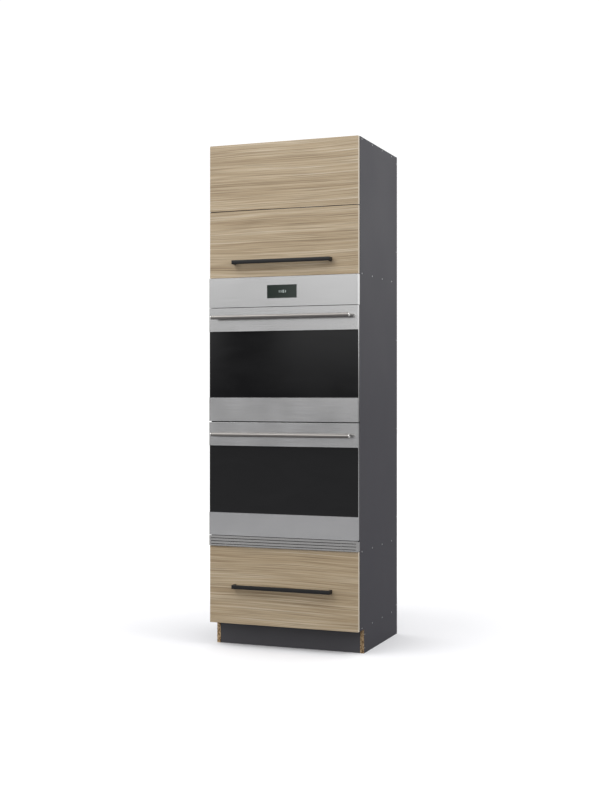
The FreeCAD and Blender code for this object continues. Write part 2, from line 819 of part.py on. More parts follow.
def rack_rib_levels(door_z):
    low = cavity_span(door_z)[0]
    return [low + rack_rib_first + i * rack_rib_pitch for i in range(rack_rib_count)]


def cavity(door_z):
    """An enamelled box, open at the front, with a flange and pressed rack ribs."""
    rear = cavity_rear_y
    inner = cavity_opening(door_z, frame_back_y, rear)
    outer = cavity_opening(door_z, frame_back_y, rear + cavity_wall, cavity_wall)
    flange = cavity_opening(door_z, frame_back_y, frame_back_y + cavity_wall, cavity_flange)
    shell = fuse([outer, flange]).cut(inner)
    wall_x = cavity_width / 2
    rib_y = (rack_rib_setback, rear - rack_rib_rear)
    ribs = []
    for z in rack_rib_levels(door_z):
        root_x = wall_x + cavity_wall / 2
        tip_x = wall_x - rack_rib_reach
        foot_z = z - rack_rib_height
        outline = [(root_x, z), (root_x, foot_z), (wall_x, foot_z), (tip_x, z - rack_rib_top), (tip_x, z)]
        rib = flat_face([V(x, rib_y[0], level) for x, level in outline])
        ribs += pair(rib.extrude(V(0, rib_y[1] - rib_y[0], 0)))
    centre_z = sum(cavity_span(door_z)) / 2
    hole = stud_y(shaft_hole_r, 0, rear, rear + cavity_wall, centre_z)
    return fuse([shell] + ribs).cut(hole)


def broil_element(door_z):
    """A bent heating tube under the cavity's ceiling, its two ends on the rear wall."""
    z = cavity_span(door_z)[1] - element_drop
    rear = cavity_rear_y
    far_y = rear - element_rear_gap
    first = -(element_legs - 1) / 2
    points = []
    for i in range(element_legs):
        x = (first + i) * element_pitch
        ends = (far_y, element_front) if i % 2 == 0 else (element_front, far_y)
        points += [V(x, y, z) for y in ends]
    points[0].y = rear
    points[-1].y = rear
    return bent_rod(points, element_pitch / 2, element_r)


def rack(door_z):
    """A wire shelf on the side ribs: a rounded frame of rod with thinner bars welded on top."""
    half = cavity_width / 2 - rack_side_clear - rack_rod_r
    z = rack_rib_levels(door_z)[rack_level] + rack_rod_r + rack_seat
    y0 = door_back_y + plug_depth + rack_front_clear + rack_rod_r
    y1 = cavity_rear_y - fan_cover_depth - rack_rear_clear - rack_rod_r
    corners = [V(-half, y0, z), V(half, y0, z), V(half, y1, z), V(-half, y1, z)]
    frame = bent_rod(corners, rack_corner_r, rack_rod_r, closed=True)
    bar_z = z + rack_rod_r + rack_bar_r - rack_weld
    inner = half - rack_corner_r
    bars = [stud_y(rack_bar_r, x, y0, y1, bar_z, bar_sides)
            for x in spread(-inner, inner, rack_bar_count)]
    stay = stud_x(rack_rod_r, -half, half, (y0 + y1) / 2, z, rod_sides)
    return fuse([frame, stay] + bars)


def fan_centre_z(door_z):
    return sum(cavity_span(door_z)) / 2


def cut_square(half, corner, y, z):
    """Corners of a square in a plane of constant Y, its own corners cut off."""
    near = half - corner
    points = [(half, near), (near, half), (-near, half), (-half, near)]
    points += [(-half, -near), (-near, -half), (near, -half), (half, -near)]
    return [V(x, y, z + level) for x, level in points]


def dish(half, y0, y1, z, corner, shoulder):
    """A square block with cut corners whose front edges slope inwards."""
    rings = [cut_square(half - shoulder, corner - shoulder / 2, y0, z)]
    rings += [cut_square(half, corner, y, z) for y in (y0 + shoulder, y1)]
    return stacked(rings)


def fan_cover(door_z):
    """A shallow pressed dish on the cavity's rear wall with radial slots in its face."""
    rear = cavity_rear_y
    z = fan_centre_z(door_z)
    t = fan_cover_sheet
    face_y = rear - fan_cover_depth
    outer = dish(fan_cover_half, face_y, rear, z, fan_cover_corner, fan_cover_shoulder)
    hollow = dish(fan_cover_half - t, face_y + t, rear, z, fan_cover_corner - t,
                  fan_cover_shoulder - t / 2)
    slots = []
    half = fan_slot_width / 2
    for i in range(fan_slot_count):
        slot = box(-half, half, face_y, face_y + t, z + fan_slot_inner, z + fan_slot_outer)
        slot.rotate(V(0, 0, z), V(0, 1, 0), 360.0 * i / fan_slot_count)
        slots.append(slot)
    return cut(outer, [hollow] + slots)


def fan(door_z):
    """A radial impeller: a disc with straight blades, on the motor's shaft."""
    rear = cavity_rear_y
    z = fan_centre_z(door_z)
    disc_y = rear - fan_wall_gap
    t = fan_blade_sheet
    disc = stud_y(fan_r, 0, disc_y - t, disc_y, z, disc_sides)
    hub = stud_y(fan_hub_r, 0, disc_y - fan_blade_depth, disc_y, z)
    shaft_end = rear + cavity_wall + fan_shaft_length
    shaft = stud_y(fan_shaft_r, 0, disc_y, shaft_end, z, turned_sides)
    blades = []
    for i in range(fan_blades):
        blade = box(-t / 2, t / 2, disc_y - fan_blade_depth, disc_y - t, z + fan_hub_r / 2, z + fan_r - t)
        blade.rotate(V(0, 0, z), V(0, 1, 0), 360.0 * (i + 0.5) / fan_blades)
        blades.append(blade)
    return fuse([disc, hub, shaft] + blades)


def fan_motor(door_z):
    """A motor can behind the cavity, bored for the fan's shaft."""
    start = cavity_rear_y + cavity_wall
    z = fan_centre_z(door_z)
    can = stud_y(motor_r, 0, start, start + motor_length, z, disc_sides)
    bore_end = start + fan_shaft_length + motor_end
    return can.cut(rod_y(fan_shaft_r + fan_shaft_play, 0, start, bore_end, z))


def oven_body():
    doors = (door_low_z, upper_door_z)
    save("oven_casing", oven_casing())
    save("oven_front_frame", oven_front_frame())
    for name, z in zip(("lower", "upper"), doors):
        save("cavity_" + name, cavity(z))
        save("rack_" + name, rack(z))
        save("fan_" + name, fan(z))
    save("broil_elements", [broil_element(z) for z in doors])
    save("fan_covers", [fan_cover(z) for z in doors])
    save("fan_motors", [fan_motor(z) for z in doors])


# ---------------------------------------------------------------- oven front trims
def control_fascia():
    """A steel tray over the controls, with a raised rim round the display."""
    t = trim_sheet
    outer = box(-outer_x, outer_x, oven_face_y, frame_face_y, fascia_low_z, oven_high_z)
    hollow_z = (fascia_low_z + t, oven_high_z - t)
    shell = outer.cut(box(t - outer_x, outer_x - t, oven_face_y + t, frame_face_y, *hollow_z))
    centre = oven_high_z - display_centre_drop
    half_w = display_width / 2
    half_h = display_height / 2
    grow = display_bezel
    rim = box(-half_w - grow, half_w + grow, oven_face_y - display_bezel_proud, oven_face_y + t,
              centre - half_h - grow, centre + half_h + grow)
    window = box(-half_w, half_w, oven_face_y - display_bezel_proud, oven_face_y + t + display_glass,
                 centre - half_h, centre + half_h)
    return fuse([shell, rim]).cut(window)


def display_window():
    centre = oven_high_z - display_centre_drop
    half_w = display_width / 2
    half_h = display_height / 2
    front_y = oven_face_y + display_recess
    return box(-half_w, half_w, front_y, front_y + display_glass, centre - half_h, centre + half_h)


def vent_trim():
    """A slotted steel strip under the lower door, folded back at its foot and ends."""
    t = trim_sheet
    face = box(-outer_x, outer_x, oven_face_y, oven_face_y + t, oven_low_z, vent_top_z)
    foot = box(-outer_x, outer_x, oven_face_y, frame_face_y, oven_low_z, oven_low_z + t)
    end_top = door_low_z - pivot_rise * (math.sqrt(2) - 1) - t / 2
    ends = pair(box(outer_x - t, outer_x, oven_face_y, frame_face_y, oven_low_z, end_top))
    half_gap = vent_slot_height / 2
    slot_x = outer_x - vent_slot_inset
    first = oven_low_z + vent_slot_inset
    slots = []
    for i in range(vent_slot_count):
        z = first + i * vent_slot_pitch
        slots.append(box(-slot_x, slot_x, oven_face_y, oven_face_y + t, z - half_gap, z + half_gap))
    face = cut(face, slots)
    ribs = []
    for x in spread(-slot_x * 0.8, slot_x * 0.8, vent_rib_count):
        ribs.append(box(x - vent_rib / 2, x + vent_rib / 2, oven_face_y + t,
                        oven_face_y + t + vent_rib_depth, oven_low_z, end_top))
    return fuse([face, foot] + ends + ribs)


def door_seal(door_z):
    """A gasket ring on the front frame, just short of the closed door's liner."""
    y0 = door_back_y + seal_gap
    ring = cavity_opening(door_z, y0, frame_face_y, seal_width + 1)
    return ring.cut(cavity_opening(door_z, y0, frame_face_y, 1.0))


# ---------------------------------------------------------------- oven doors
def lug_edges():
    """X of the right-hand hinge lug's two faces."""
    centre = lug_spacing / 2
    return centre - lug_thickness / 2, centre + lug_thickness / 2


def ear_span():
    """X of the right-hand ear of the door, just outside the lug."""
    lug_out = lug_edges()[1]
    return lug_out + lug_side_gap, lug_out + lug_side_gap + ear_thickness


def hinge_lug(door_z):
    """A lug on the front frame with the cross pin that the door turns on."""
    z = door_z + pivot_rise
    x = lug_edges()
    tongue = box(*x, pivot_y, frame_face_y, z - lug_half_height, z + lug_half_height)
    nose = stud_x(lug_half_height, *x, pivot_y, z)
    foot_x = (x[0] - lug_foot_half, x[1] + lug_foot_half)
    foot = box(*foot_x, frame_face_y - lug_foot, frame_face_y, z - lug_half_height, z + lug_foot_half)
    pin = stud_x(pivot_pin_r, x[1], ear_span()[1], pivot_y, z, turned_sides)
    return fuse([tongue, nose, foot, pin])


def low_band_face(x, inset, low, glass_z, back_y_plane):
    """Cross-section of the band below the glass: its lower back corner is round about the pivot."""
    y0 = oven_face_y + inset
    z0 = low + inset
    r = door_edge_r
    corner = r * (1 - math.sqrt(0.5))
    z_pivot = low + pivot_rise
    turn_r = pivot_rise - inset
    outline = [(y0, glass_z), (y0, z0 + r), (y0 + corner, z0 + corner), (y0 + r, z0)]
    for step in range(round_back_steps + 1):
        turn = math.pi / 2 * step / round_back_steps
        outline.append((pivot_y + turn_r * math.sin(turn), z_pivot - turn_r * math.cos(turn)))
    outline += [(back_y_plane, z_pivot), (back_y_plane, glass_z)]
    return flat_face(distinct([V(x, y, z) for y, z in outline]))


def door_frame(low, band_top, band_low):
    """Two folded steel bands and two side stiles, with ears for the hinge pins."""
    t = door_sheet
    high = low + door_height
    glass_low = low + band_low
    glass_high = high - band_top
    back = door_back_y - t
    width = 2 * outer_x
    inner_width = width - 2 * t
    outer = low_band_face(-outer_x, 0.0, low, glass_low, back).extrude(V(width, 0, 0))
    inner = low_band_face(t - outer_x, t, low, glass_low - t, back).extrude(V(inner_width, 0, 0))
    low_band = outer.cut(inner)
    top = box(-outer_x, outer_x, oven_face_y, back, glass_high, high)
    front_edges = [e for e in top.Edges if e.BoundBox.YMax < oven_face_y + 0.01
                   and e.BoundBox.ZMin > high - 0.01]
    top = top.makeChamfer(door_edge_r / 2, front_edges)
    hollow = box(t - outer_x, outer_x - t, oven_face_y + t, back, glass_high + t, high - t)
    top_band = top.cut(hollow)
    stile_y = (oven_face_y + glass_recess + glass_thickness, back)
    stile = box(outer_x - stile_width, outer_x, *stile_y, glass_low - t, glass_high + t)
    z_pivot = low + pivot_rise
    ear_x = ear_span()
    ear = box(*ear_x, oven_face_y + t / 2, back, low + t / 2, z_pivot + ear_half)
    limit = low_band_face(ear_x[0], t / 2, low, glass_low, back).extrude(V(ear_thickness, 0, 0))
    frame = fuse([low_band, top_band] + pair(stile) + pair(ear.common(limit)))
    lug_in, lug_out = lug_edges()
    slot_x = (lug_in - lug_side_gap, lug_out + lug_side_gap)
    slot_y = (pivot_y - lug_half_height - lug_side_gap, door_back_y)
    slot = box(*slot_x, *slot_y, low, z_pivot + lug_half_height + lug_side_gap)
    bore = rod_x(pivot_pin_r + pivot_play, *ear_x, pivot_y, z_pivot)
    return cut(frame, pair(slot) + pair(bore))


def plug_span(door_z):
    low, high = cavity_span(door_z)
    return low + plug_top_clear, high - plug_top_clear


def window_box(door_z, y0, y1, grow=0.0):
    low, high = plug_span(door_z)
    middle = (low + high) / 2
    half_h = window_height / 2 + grow
    return rounded_box_y(window_width / 2 + grow, y0, y1, middle - half_h, middle + half_h,
                         window_corner_r)


def door_liner(low):
    """The door's inner skin: a plate with a hollow plug that enters the cavity's mouth."""
    t = door_sheet
    half = outer_x - liner_inset
    z = (low + pivot_rise, low + door_height - liner_inset)
    plate = box(-half, half, door_back_y - t, door_back_y, *z)
    low_z, high_z = plug_span(low)
    plug_half = cavity_width / 2 - plug_side_clear
    plug_y = door_back_y + plug_depth
    span = (door_back_y, plug_y, low_z, high_z)
    plug = rounded_box_y(plug_half, *span, cavity_corner_r)
    hollow = rounded_box_y(plug_half - t, door_back_y - t, plug_y - t, low_z + t, high_z - t,
                           cavity_corner_r - t)
    window = window_box(low, plug_y - t, plug_y)
    liner = cut(fuse([plate, plug]), [hollow, window])
    lug_in, lug_out = lug_edges()
    gap = lug_side_gap
    slot_top = low + pivot_rise + lug_foot_half + 3 * gap
    slot = box(lug_in - lug_foot_half - gap, lug_out + lug_foot_half + gap, door_back_y - t, door_back_y,
               low, slot_top)
    return cut(liner, pair(slot))


def door_panes(low, band_top, band_low):
    half = outer_x
    y0 = oven_face_y + glass_recess
    z = (low + band_low, low + door_height - band_top)
    outer = box(-half, half, y0, y0 + glass_thickness, *z)
    plug_y = door_back_y + plug_depth - door_sheet
    inner = window_box(low, plug_y - inner_pane, plug_y, pane_lap)
    return [outer, inner]


def door_handle(low, drop):
    """A round tube on two short posts."""
    z = low + door_height - drop
    y = oven_face_y - tube_standoff
    half = tube_length / 2
    tube = rod_x(tube_r, -half, half, y, z)
    post = stud_y(post_r, half - post_inset, y, oven_face_y, z, turned_sides)
    return fuse([tube] + pair(post))


def oven_front():
    save("control_fascia", control_fascia())
    save("display_window", display_window())
    save("vent_trim", vent_trim())
    doors = (door_low_z, upper_door_z)
    save("door_seals", [door_seal(z) for z in doors])
    save("door_hinge_lugs", [lug for z in doors for lug in pair(hinge_lug(z))])
    sets = (
        ("lower", door_low_z, lower_band_top, lower_band_low, lower_tube_drop),
        ("upper", upper_door_z, upper_band_top, upper_band_low, upper_tube_drop),
    )
    for name, low, band_top, band_low, drop in sets:
        save("door_frame_" + name, door_frame(low, band_top, band_low))
        save("door_liner_" + name, door_liner(low))
        save("door_panes_" + name, door_panes(low, band_top, band_low))
        save("door_handle_" + name, door_handle(low, drop))


def main():
    os.makedirs("parts", exist_ok=True)
    carcase()
    flap()
    drawer_box()
    runners()
    oven_body()
    oven_front()


if __name__ == "__main__":
    main()
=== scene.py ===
import json
import math

import bmesh
import bpy
from bpy.props import FloatProperty, FloatVectorProperty, PointerProperty, StringProperty
from mathutils import Matrix, Vector

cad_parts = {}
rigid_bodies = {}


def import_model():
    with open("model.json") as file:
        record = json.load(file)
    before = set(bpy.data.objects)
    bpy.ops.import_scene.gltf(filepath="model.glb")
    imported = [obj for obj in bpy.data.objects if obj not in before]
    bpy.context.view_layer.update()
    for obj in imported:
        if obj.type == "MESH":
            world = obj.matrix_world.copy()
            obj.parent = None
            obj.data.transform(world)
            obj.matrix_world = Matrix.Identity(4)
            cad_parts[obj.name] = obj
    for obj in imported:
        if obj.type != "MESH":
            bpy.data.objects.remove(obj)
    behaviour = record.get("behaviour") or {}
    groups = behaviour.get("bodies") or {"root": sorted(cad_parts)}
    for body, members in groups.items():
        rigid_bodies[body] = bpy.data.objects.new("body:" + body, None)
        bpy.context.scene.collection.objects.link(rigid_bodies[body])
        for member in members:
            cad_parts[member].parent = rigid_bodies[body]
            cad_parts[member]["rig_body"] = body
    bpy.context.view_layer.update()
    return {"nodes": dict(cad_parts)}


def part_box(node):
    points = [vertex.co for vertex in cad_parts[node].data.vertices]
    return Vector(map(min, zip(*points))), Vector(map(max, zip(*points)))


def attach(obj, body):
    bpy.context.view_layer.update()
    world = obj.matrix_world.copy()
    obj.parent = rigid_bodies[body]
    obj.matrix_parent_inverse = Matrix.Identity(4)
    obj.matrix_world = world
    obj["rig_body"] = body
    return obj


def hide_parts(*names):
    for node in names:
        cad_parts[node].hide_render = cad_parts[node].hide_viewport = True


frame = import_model()

bl_info = {
    "name": "Tall oven unit looks",
    "version": (1, 0, 0),
    "blender": (4, 5, 0),
    "location": "View3D > Sidebar > Oven unit",
    "description": "Finishes and fine pieces of a tall kitchen unit with a double oven",
    "category": "Object",
}

MM = 0.001

# Sides of the round pieces, and steps of their bends.
TUBE_SIDES, POST_SIDES = 64, 40
HEAD_SIDES, SHANK_SIDES = 20, 10
ROD_SIDES, RACK_BAR_SIDES, RACK_BEND_STEPS = 14, 12, 7
ELEMENT_SIDES, ELEMENT_BEND_STEPS = 16, 18

# The clock's digits: shares of a digit's height, and the bars that each figure lights.
DIGIT_WIDTH, DIGIT_PITCH, COLON_PITCH = 0.50, 0.78, 0.36
STROKE, DOT_HALF = 0.11, 0.055
BARS_LIT = {"0": "abcdef", "1": "bc", "2": "abdeg", "3": "abcdg", "4": "bcfg", "5": "acdfg",
            "6": "acdefg", "7": "abc", "8": "abcdefg", "9": "abcdfg"}


# ---------------------------------------------------------------- colours and nodes
def linear(code):
    """An sRGB hex colour as linear red, green, blue and alpha."""
    parts = [int(code[i:i + 2], 16) / 255 for i in (1, 3, 5)]
    return tuple(c / 12.92 if c <= 0.04045 else ((c + 0.055) / 1.055) ** 2.4
                 for c in parts) + (1.0,)


def add(tree, kind, inputs=None, **settings):
    """One node with its settings, its socket values and its incoming links."""
    made = tree.nodes.new(kind)
    for name, value in settings.items():
        setattr(made, name, value)
    for socket, value in (inputs or {}).items():
        if isinstance(value, bpy.types.NodeSocket):
            tree.links.new(value, made.inputs[socket])
        else:
            made.inputs[socket].default_value = value
    return made


def empty_material(name):
    """A new material and its empty node tree."""
    material = bpy.data.materials.new(name)
    material.use_nodes = True
    material.node_tree.nodes.clear()
    return material, material.node_tree


def close_material(tree, sockets):
    """The surface shader with its socket values, and the output behind it."""
    shader = add(tree, "ShaderNodeBsdfPrincipled", sockets)
    add(tree, "ShaderNodeOutputMaterial", {"Surface": shader.outputs["BSDF"]})


def set_ramp(ramp_node, stops):
    """Colours of a ramp from (position, hex) pairs."""
    ramp = ramp_node.color_ramp
    while len(ramp.elements) < len(stops):
        ramp.elements.new(0.5)
    for element, (position, code) in zip(ramp.elements, stops):
        element.position = position
        element.color = linear(code)
    return ramp_node.outputs["Color"]


def repeats(size_mm):
    """How often a pattern of this size fits into a metre."""
    return 1000.0 / size_mm


def stretch(*sizes_mm):
    """A Mapping node's scale that makes one unit of a pattern this long on X, Y and Z."""
    return [repeats(length) for length in sizes_mm]


def plain_finish(name, code, drift, grain_mm, roughness, rough_drift, relief_mm, metallic=0.0,
                 gloss=0.5):
    """An even finish: its colour and roughness drift a little from patch to patch, and it has a
    fine relief. The grain is drawn coarser than the real one so that it shows."""
    material, tree = empty_material(name)
    place = add(tree, "ShaderNodeTexCoord").outputs["Object"]
    patches_in_metre = 9.0
    fine = add(tree, "ShaderNodeTexNoise", {"Vector": place, "Scale": repeats(grain_mm),
                                            "Detail": 3.0})
    broad = add(tree, "ShaderNodeTexNoise", {"Vector": place, "Scale": patches_in_metre,
                                             "Detail": 4.0})
    mixed = add(tree, "ShaderNodeMath", {0: fine.outputs["Fac"], 1: broad.outputs["Fac"]},
                operation="ADD")
    shade = add(tree, "ShaderNodeMapRange", {"Value": mixed.outputs[0], "From Min": 0.6,
                                             "From Max": 1.4, "To Min": 1.0 - drift,
                                             "To Max": 1.0 + drift})
    base = add(tree, "ShaderNodeVectorMath", {0: linear(code)[:3],
                                              "Scale": shade.outputs["Result"]},
               operation="SCALE")
    rough = add(tree, "ShaderNodeMapRange", {"Value": broad.outputs["Fac"], "From Min": 0.3,
                                             "From Max": 0.7, "To Min": roughness - rough_drift,
                                             "To Max": roughness + rough_drift})
    relief = add(tree, "ShaderNodeBump", {"Height": fine.outputs["Fac"], "Strength": 1.0,
                                          "Distance": relief_mm * MM})
    close_material(tree, {"Base Color": base.outputs["Vector"],
                          "Roughness": rough.outputs["Result"], "Metallic": metallic,
                          "Normal": relief.outputs["Normal"], "Specular IOR Level": gloss})
    return material


# ---------------------------------------------------------------- finishes
def oak_foil(finish, fold_z):
    """Chipboard front in oak foil, pressed. The grain runs across the unit in long, slightly wavy
    streaks, with short dark pores, drawn wider than real ones so that they show. The edges have a
    plain, paler band. The two edges that meet at the fold, at height fold_z, are near-black:
    painted shade for the gap between them."""
    material, tree = empty_material("oak_foil_pressed")
    texture = add(tree, "ShaderNodeTexCoord")
    place = texture.outputs["Object"]
    wander = 35 * MM        # how far the grain strays up and down
    slow = add(tree, "ShaderNodeMapping", {"Vector": place, "Scale": stretch(1000, 1000, 520)})
    bend = add(tree, "ShaderNodeTexNoise", {"Vector": slow.outputs["Vector"], "Scale": 1.0,
                                            "Detail": 1.0})
    lift = add(tree, "ShaderNodeMapRange", {"Value": bend.outputs["Fac"], "To Min": -wander,
                                            "To Max": wander})
    offset = add(tree, "ShaderNodeCombineXYZ", {"Z": lift.outputs["Result"]})
    wavy = add(tree, "ShaderNodeVectorMath", {0: place, 1: offset.outputs["Vector"]},
               operation="ADD")
    width = finish.grain_width * 1000
    # The layers of the print: length and width of a mark in mm, its octaves and their roughness.
    layers = (("bands", 900, width * 5, 2.0, 0.5), ("streaks", 760, width, 3.0, 0.65),
              ("fibres", 520, width / 3, 2.0, 0.7), ("pores", 240, 2.6, 2.0, 0.5))
    grain = {}
    for name, long_mm, wide_mm, octaves, roughness in layers:
        laid = add(tree, "ShaderNodeMapping", {"Vector": wavy.outputs["Vector"],
                                               "Scale": stretch(long_mm, long_mm, wide_mm)})
        marks = add(tree, "ShaderNodeTexNoise", {"Vector": laid.outputs["Vector"], "Scale": 1.0,
                                                 "Detail": octaves, "Roughness": roughness})
        grain[name] = marks.outputs["Fac"]
    tone = add(tree, "ShaderNodeMix", {"Factor": 0.40, "A": grain["bands"],
                                       "B": grain["streaks"]}, data_type="FLOAT")
    tone = add(tree, "ShaderNodeMix", {"Factor": 0.60, "A": tone.outputs["Result"],
                                       "B": grain["fibres"]}, data_type="FLOAT")
    wood = set_ramp(add(tree, "ShaderNodeValToRGB", {"Fac": tone.outputs["Result"]}),
                    ((0.34, finish.oak_dark), (0.45, finish.oak_middle), (0.55, finish.oak_light),
                     (0.66, finish.oak_pale)))
    dash = add(tree, "ShaderNodeMapRange", {"Value": grain["pores"], "From Min": 0.36,
                                            "From Max": 0.50, "To Min": 0.78, "To Max": 1.01})
    wood = add(tree, "ShaderNodeVectorMath", {0: wood, "Scale": dash.outputs["Result"]},
               operation="SCALE")
    sides = add(tree, "ShaderNodeSeparateXYZ", {"Vector": texture.outputs["Normal"]})
    facing = add(tree, "ShaderNodeMath", {0: sides.outputs["Y"]}, operation="ABSOLUTE")
    on_edge = add(tree, "ShaderNodeMath", {0: facing.outputs[0], 1: 0.35}, operation="LESS_THAN")
    colour = add(tree, "ShaderNodeMix", {"Factor": on_edge.outputs[0],
                                         "A": wood.outputs["Vector"],
                                         "B": linear(finish.oak_band)}, data_type="RGBA")
    # Painted shade: the edges close to the fold turn near-black, for the shade in the gap there.
    level = add(tree, "ShaderNodeSeparateXYZ", {"Vector": place}).outputs["Z"]
    in_fold_shade = add(tree, "ShaderNodeMath", {0: level, 1: fold_z, 2: finish.fold_shade_reach},
                  operation="COMPARE")
    colour = add(tree, "ShaderNodeMix", {"Factor": in_fold_shade.outputs[0],
                                         "A": colour.outputs["Result"],
                                         "B": linear(finish.fold_shade_colour)}, data_type="RGBA")
    ridges = add(tree, "ShaderNodeMath", {0: grain["streaks"], 1: dash.outputs["Result"]},
                 operation="ADD")
    relief = add(tree, "ShaderNodeBump", {"Height": ridges.outputs[0], "Strength": 0.6,
                                          "Distance": 0.12 * MM})
    rough = add(tree, "ShaderNodeMapRange", {"Value": grain["bands"], "To Min": 0.50,
                                             "To Max": 0.62})
    close_material(tree, {"Base Color": colour.outputs["Result"],
                          "Normal": relief.outputs["Normal"],
                          "Roughness": rough.outputs["Result"]})
    return material


def graphite_board(finish, notch_y, notch_z):
    """Chipboard in graphite melamine, pressed against a fine pearl plate: even, dark and dry. The
    pearl is drawn coarser than the real one. Where the toe notch is sawn out, in front of notch_y
    and below notch_z, the raw chips show."""
    material, tree = empty_material("graphite_melamine_pressed")
    texture = add(tree, "ShaderNodeTexCoord")
    place = texture.outputs["Object"]
    clouds_in_metre = 2.2
    pearl = add(tree, "ShaderNodeTexNoise", {"Vector": place, "Scale": repeats(1.4),
                                             "Detail": 2.0})
    cloud = add(tree, "ShaderNodeTexNoise", {"Vector": place, "Scale": clouds_in_metre,
                                             "Detail": 5.0})
    drift = add(tree, "ShaderNodeMapRange", {"Value": cloud.outputs["Fac"], "From Min": 0.3,
                                             "From Max": 0.7, "To Min": 0.95, "To Max": 1.05})
    film = add(tree, "ShaderNodeVectorMath", {0: linear(finish.graphite)[:3],
                                              "Scale": drift.outputs["Result"]}, operation="SCALE")
    chip = add(tree, "ShaderNodeMapping", {"Vector": place, "Scale": stretch(3.2, 3.2, 5.5)})
    chips = add(tree, "ShaderNodeTexVoronoi", {"Vector": chip.outputs["Vector"], "Scale": 1.0,
                                               "Randomness": 1.0})
    chip_tone = add(tree, "ShaderNodeSeparateColor", {"Color": chips.outputs["Color"]})
    raw = set_ramp(add(tree, "ShaderNodeValToRGB", {"Fac": chip_tone.outputs["Red"]}),
                   ((0.0, "#54402C"), (0.35, "#8F7353"), (0.7, "#B89A75"), (1.0, "#D3BB96")))
    along = add(tree, "ShaderNodeSeparateXYZ", {"Vector": place})
    turned = add(tree, "ShaderNodeSeparateXYZ", {"Vector": texture.outputs["Normal"]})
    low = add(tree, "ShaderNodeMath", {0: along.outputs["Z"], 1: notch_z + MM},
              operation="LESS_THAN")
    near = add(tree, "ShaderNodeMath", {0: along.outputs["Y"], 1: notch_y + MM},
               operation="LESS_THAN")
    flat = add(tree, "ShaderNodeMath", {0: turned.outputs["X"]}, operation="ABSOLUTE")
    edge = add(tree, "ShaderNodeMath", {0: flat.outputs[0], 1: 0.5}, operation="LESS_THAN")
    sawn = add(tree, "ShaderNodeMath", {0: low.outputs[0], 1: near.outputs[0]},
               operation="MULTIPLY")
    sawn = add(tree, "ShaderNodeMath", {0: sawn.outputs[0], 1: edge.outputs[0]},
               operation="MULTIPLY")
    colour = add(tree, "ShaderNodeMix", {"Factor": sawn.outputs[0], "A": film.outputs["Vector"],
                                         "B": raw}, data_type="RGBA")
    rough = add(tree, "ShaderNodeMapRange", {"Value": cloud.outputs["Fac"], "To Min": 0.44,
                                             "To Max": 0.60})
    relief = add(tree, "ShaderNodeBump", {"Height": pearl.outputs["Fac"], "Strength": 0.5,
                                          "Distance": 0.06 * MM})
    close_material(tree, {"Base Color": colour.outputs["Result"],
                          "Normal": relief.outputs["Normal"],
                          "Roughness": rough.outputs["Result"], "Specular IOR Level": 0.19})
    return material


def brushed_steel(name, code, roughness, line_mm=1.6, inside=None):
    """Stainless steel sheet, brushed along the unit's width: fine level lines and soft, wide
    reflections. The lines are drawn coarser than real ones so that they show. Inside the box given
    by inside (low, high), the colour is darkened to 0.12: painted shade for slots and for the sheet
    behind a face."""
    material, tree = empty_material(name)
    place = add(tree, "ShaderNodeTexCoord").outputs["Object"]
    wipes_in_metre = 7.0
    drawn = add(tree, "ShaderNodeMapping", {"Vector": place,
                                            "Scale": stretch(180, line_mm, line_mm)})
    lines = add(tree, "ShaderNodeTexNoise", {"Vector": drawn.outputs["Vector"], "Scale": 1.0,
                                             "Detail": 4.0, "Roughness": 0.6})
    hand = add(tree, "ShaderNodeTexNoise", {"Vector": place, "Scale": wipes_in_metre,
                                            "Detail": 5.0})
    shade = add(tree, "ShaderNodeMapRange", {"Value": lines.outputs["Fac"], "From Min": 0.3,
                                             "From Max": 0.7, "To Min": 0.94, "To Max": 1.05})
    base = add(tree, "ShaderNodeVectorMath", {0: linear(code)[:3],
                                              "Scale": shade.outputs["Result"]},
               operation="SCALE")
    # Painted shade: inside the box the colour falls to 0.12, for the shade in slots and behind a
    # face.
    if inside:
        above = add(tree, "ShaderNodeVectorMath", {0: place, 1: inside[0]}, operation="SUBTRACT")
        below = add(tree, "ShaderNodeVectorMath", {0: inside[1], 1: place}, operation="SUBTRACT")
        nearest = add(tree, "ShaderNodeVectorMath", {0: above.outputs["Vector"],
                                                     1: below.outputs["Vector"]},
                      operation="MINIMUM")
        ways = add(tree, "ShaderNodeSeparateXYZ", {"Vector": nearest.outputs["Vector"]})
        least = add(tree, "ShaderNodeMath", {0: ways.outputs["X"], 1: ways.outputs["Y"]},
                    operation="MINIMUM")
        least = add(tree, "ShaderNodeMath", {0: least.outputs[0], 1: ways.outputs["Z"]},
                    operation="MINIMUM")
        in_painted_slot_shade = add(tree, "ShaderNodeMath", {0: least.outputs[0], 1: 0.0},
                     operation="GREATER_THAN")
        dark = add(tree, "ShaderNodeMapRange", {"Value": in_painted_slot_shade.outputs[0], "To Min": 1.0,
                                                "To Max": 0.12})
        base = add(tree, "ShaderNodeVectorMath", {0: base.outputs["Vector"],
                                                  "Scale": dark.outputs["Result"]},
                   operation="SCALE")
    both = add(tree, "ShaderNodeMath", {0: lines.outputs["Fac"], 1: hand.outputs["Fac"]},
               operation="ADD")
    rough = add(tree, "ShaderNodeMapRange", {"Value": both.outputs[0], "From Min": 0.6,
                                             "From Max": 1.4, "To Min": roughness - 0.05,
                                             "To Max": roughness + 0.06})
    relief = add(tree, "ShaderNodeBump", {"Height": lines.outputs["Fac"], "Strength": 0.5,
                                          "Distance": 0.03 * MM})
    close_material(tree, {"Base Color": base.outputs["Vector"], "Metallic": 1.0,
                          "Roughness": rough.outputs["Result"], "Normal": relief.outputs["Normal"]})
    return material


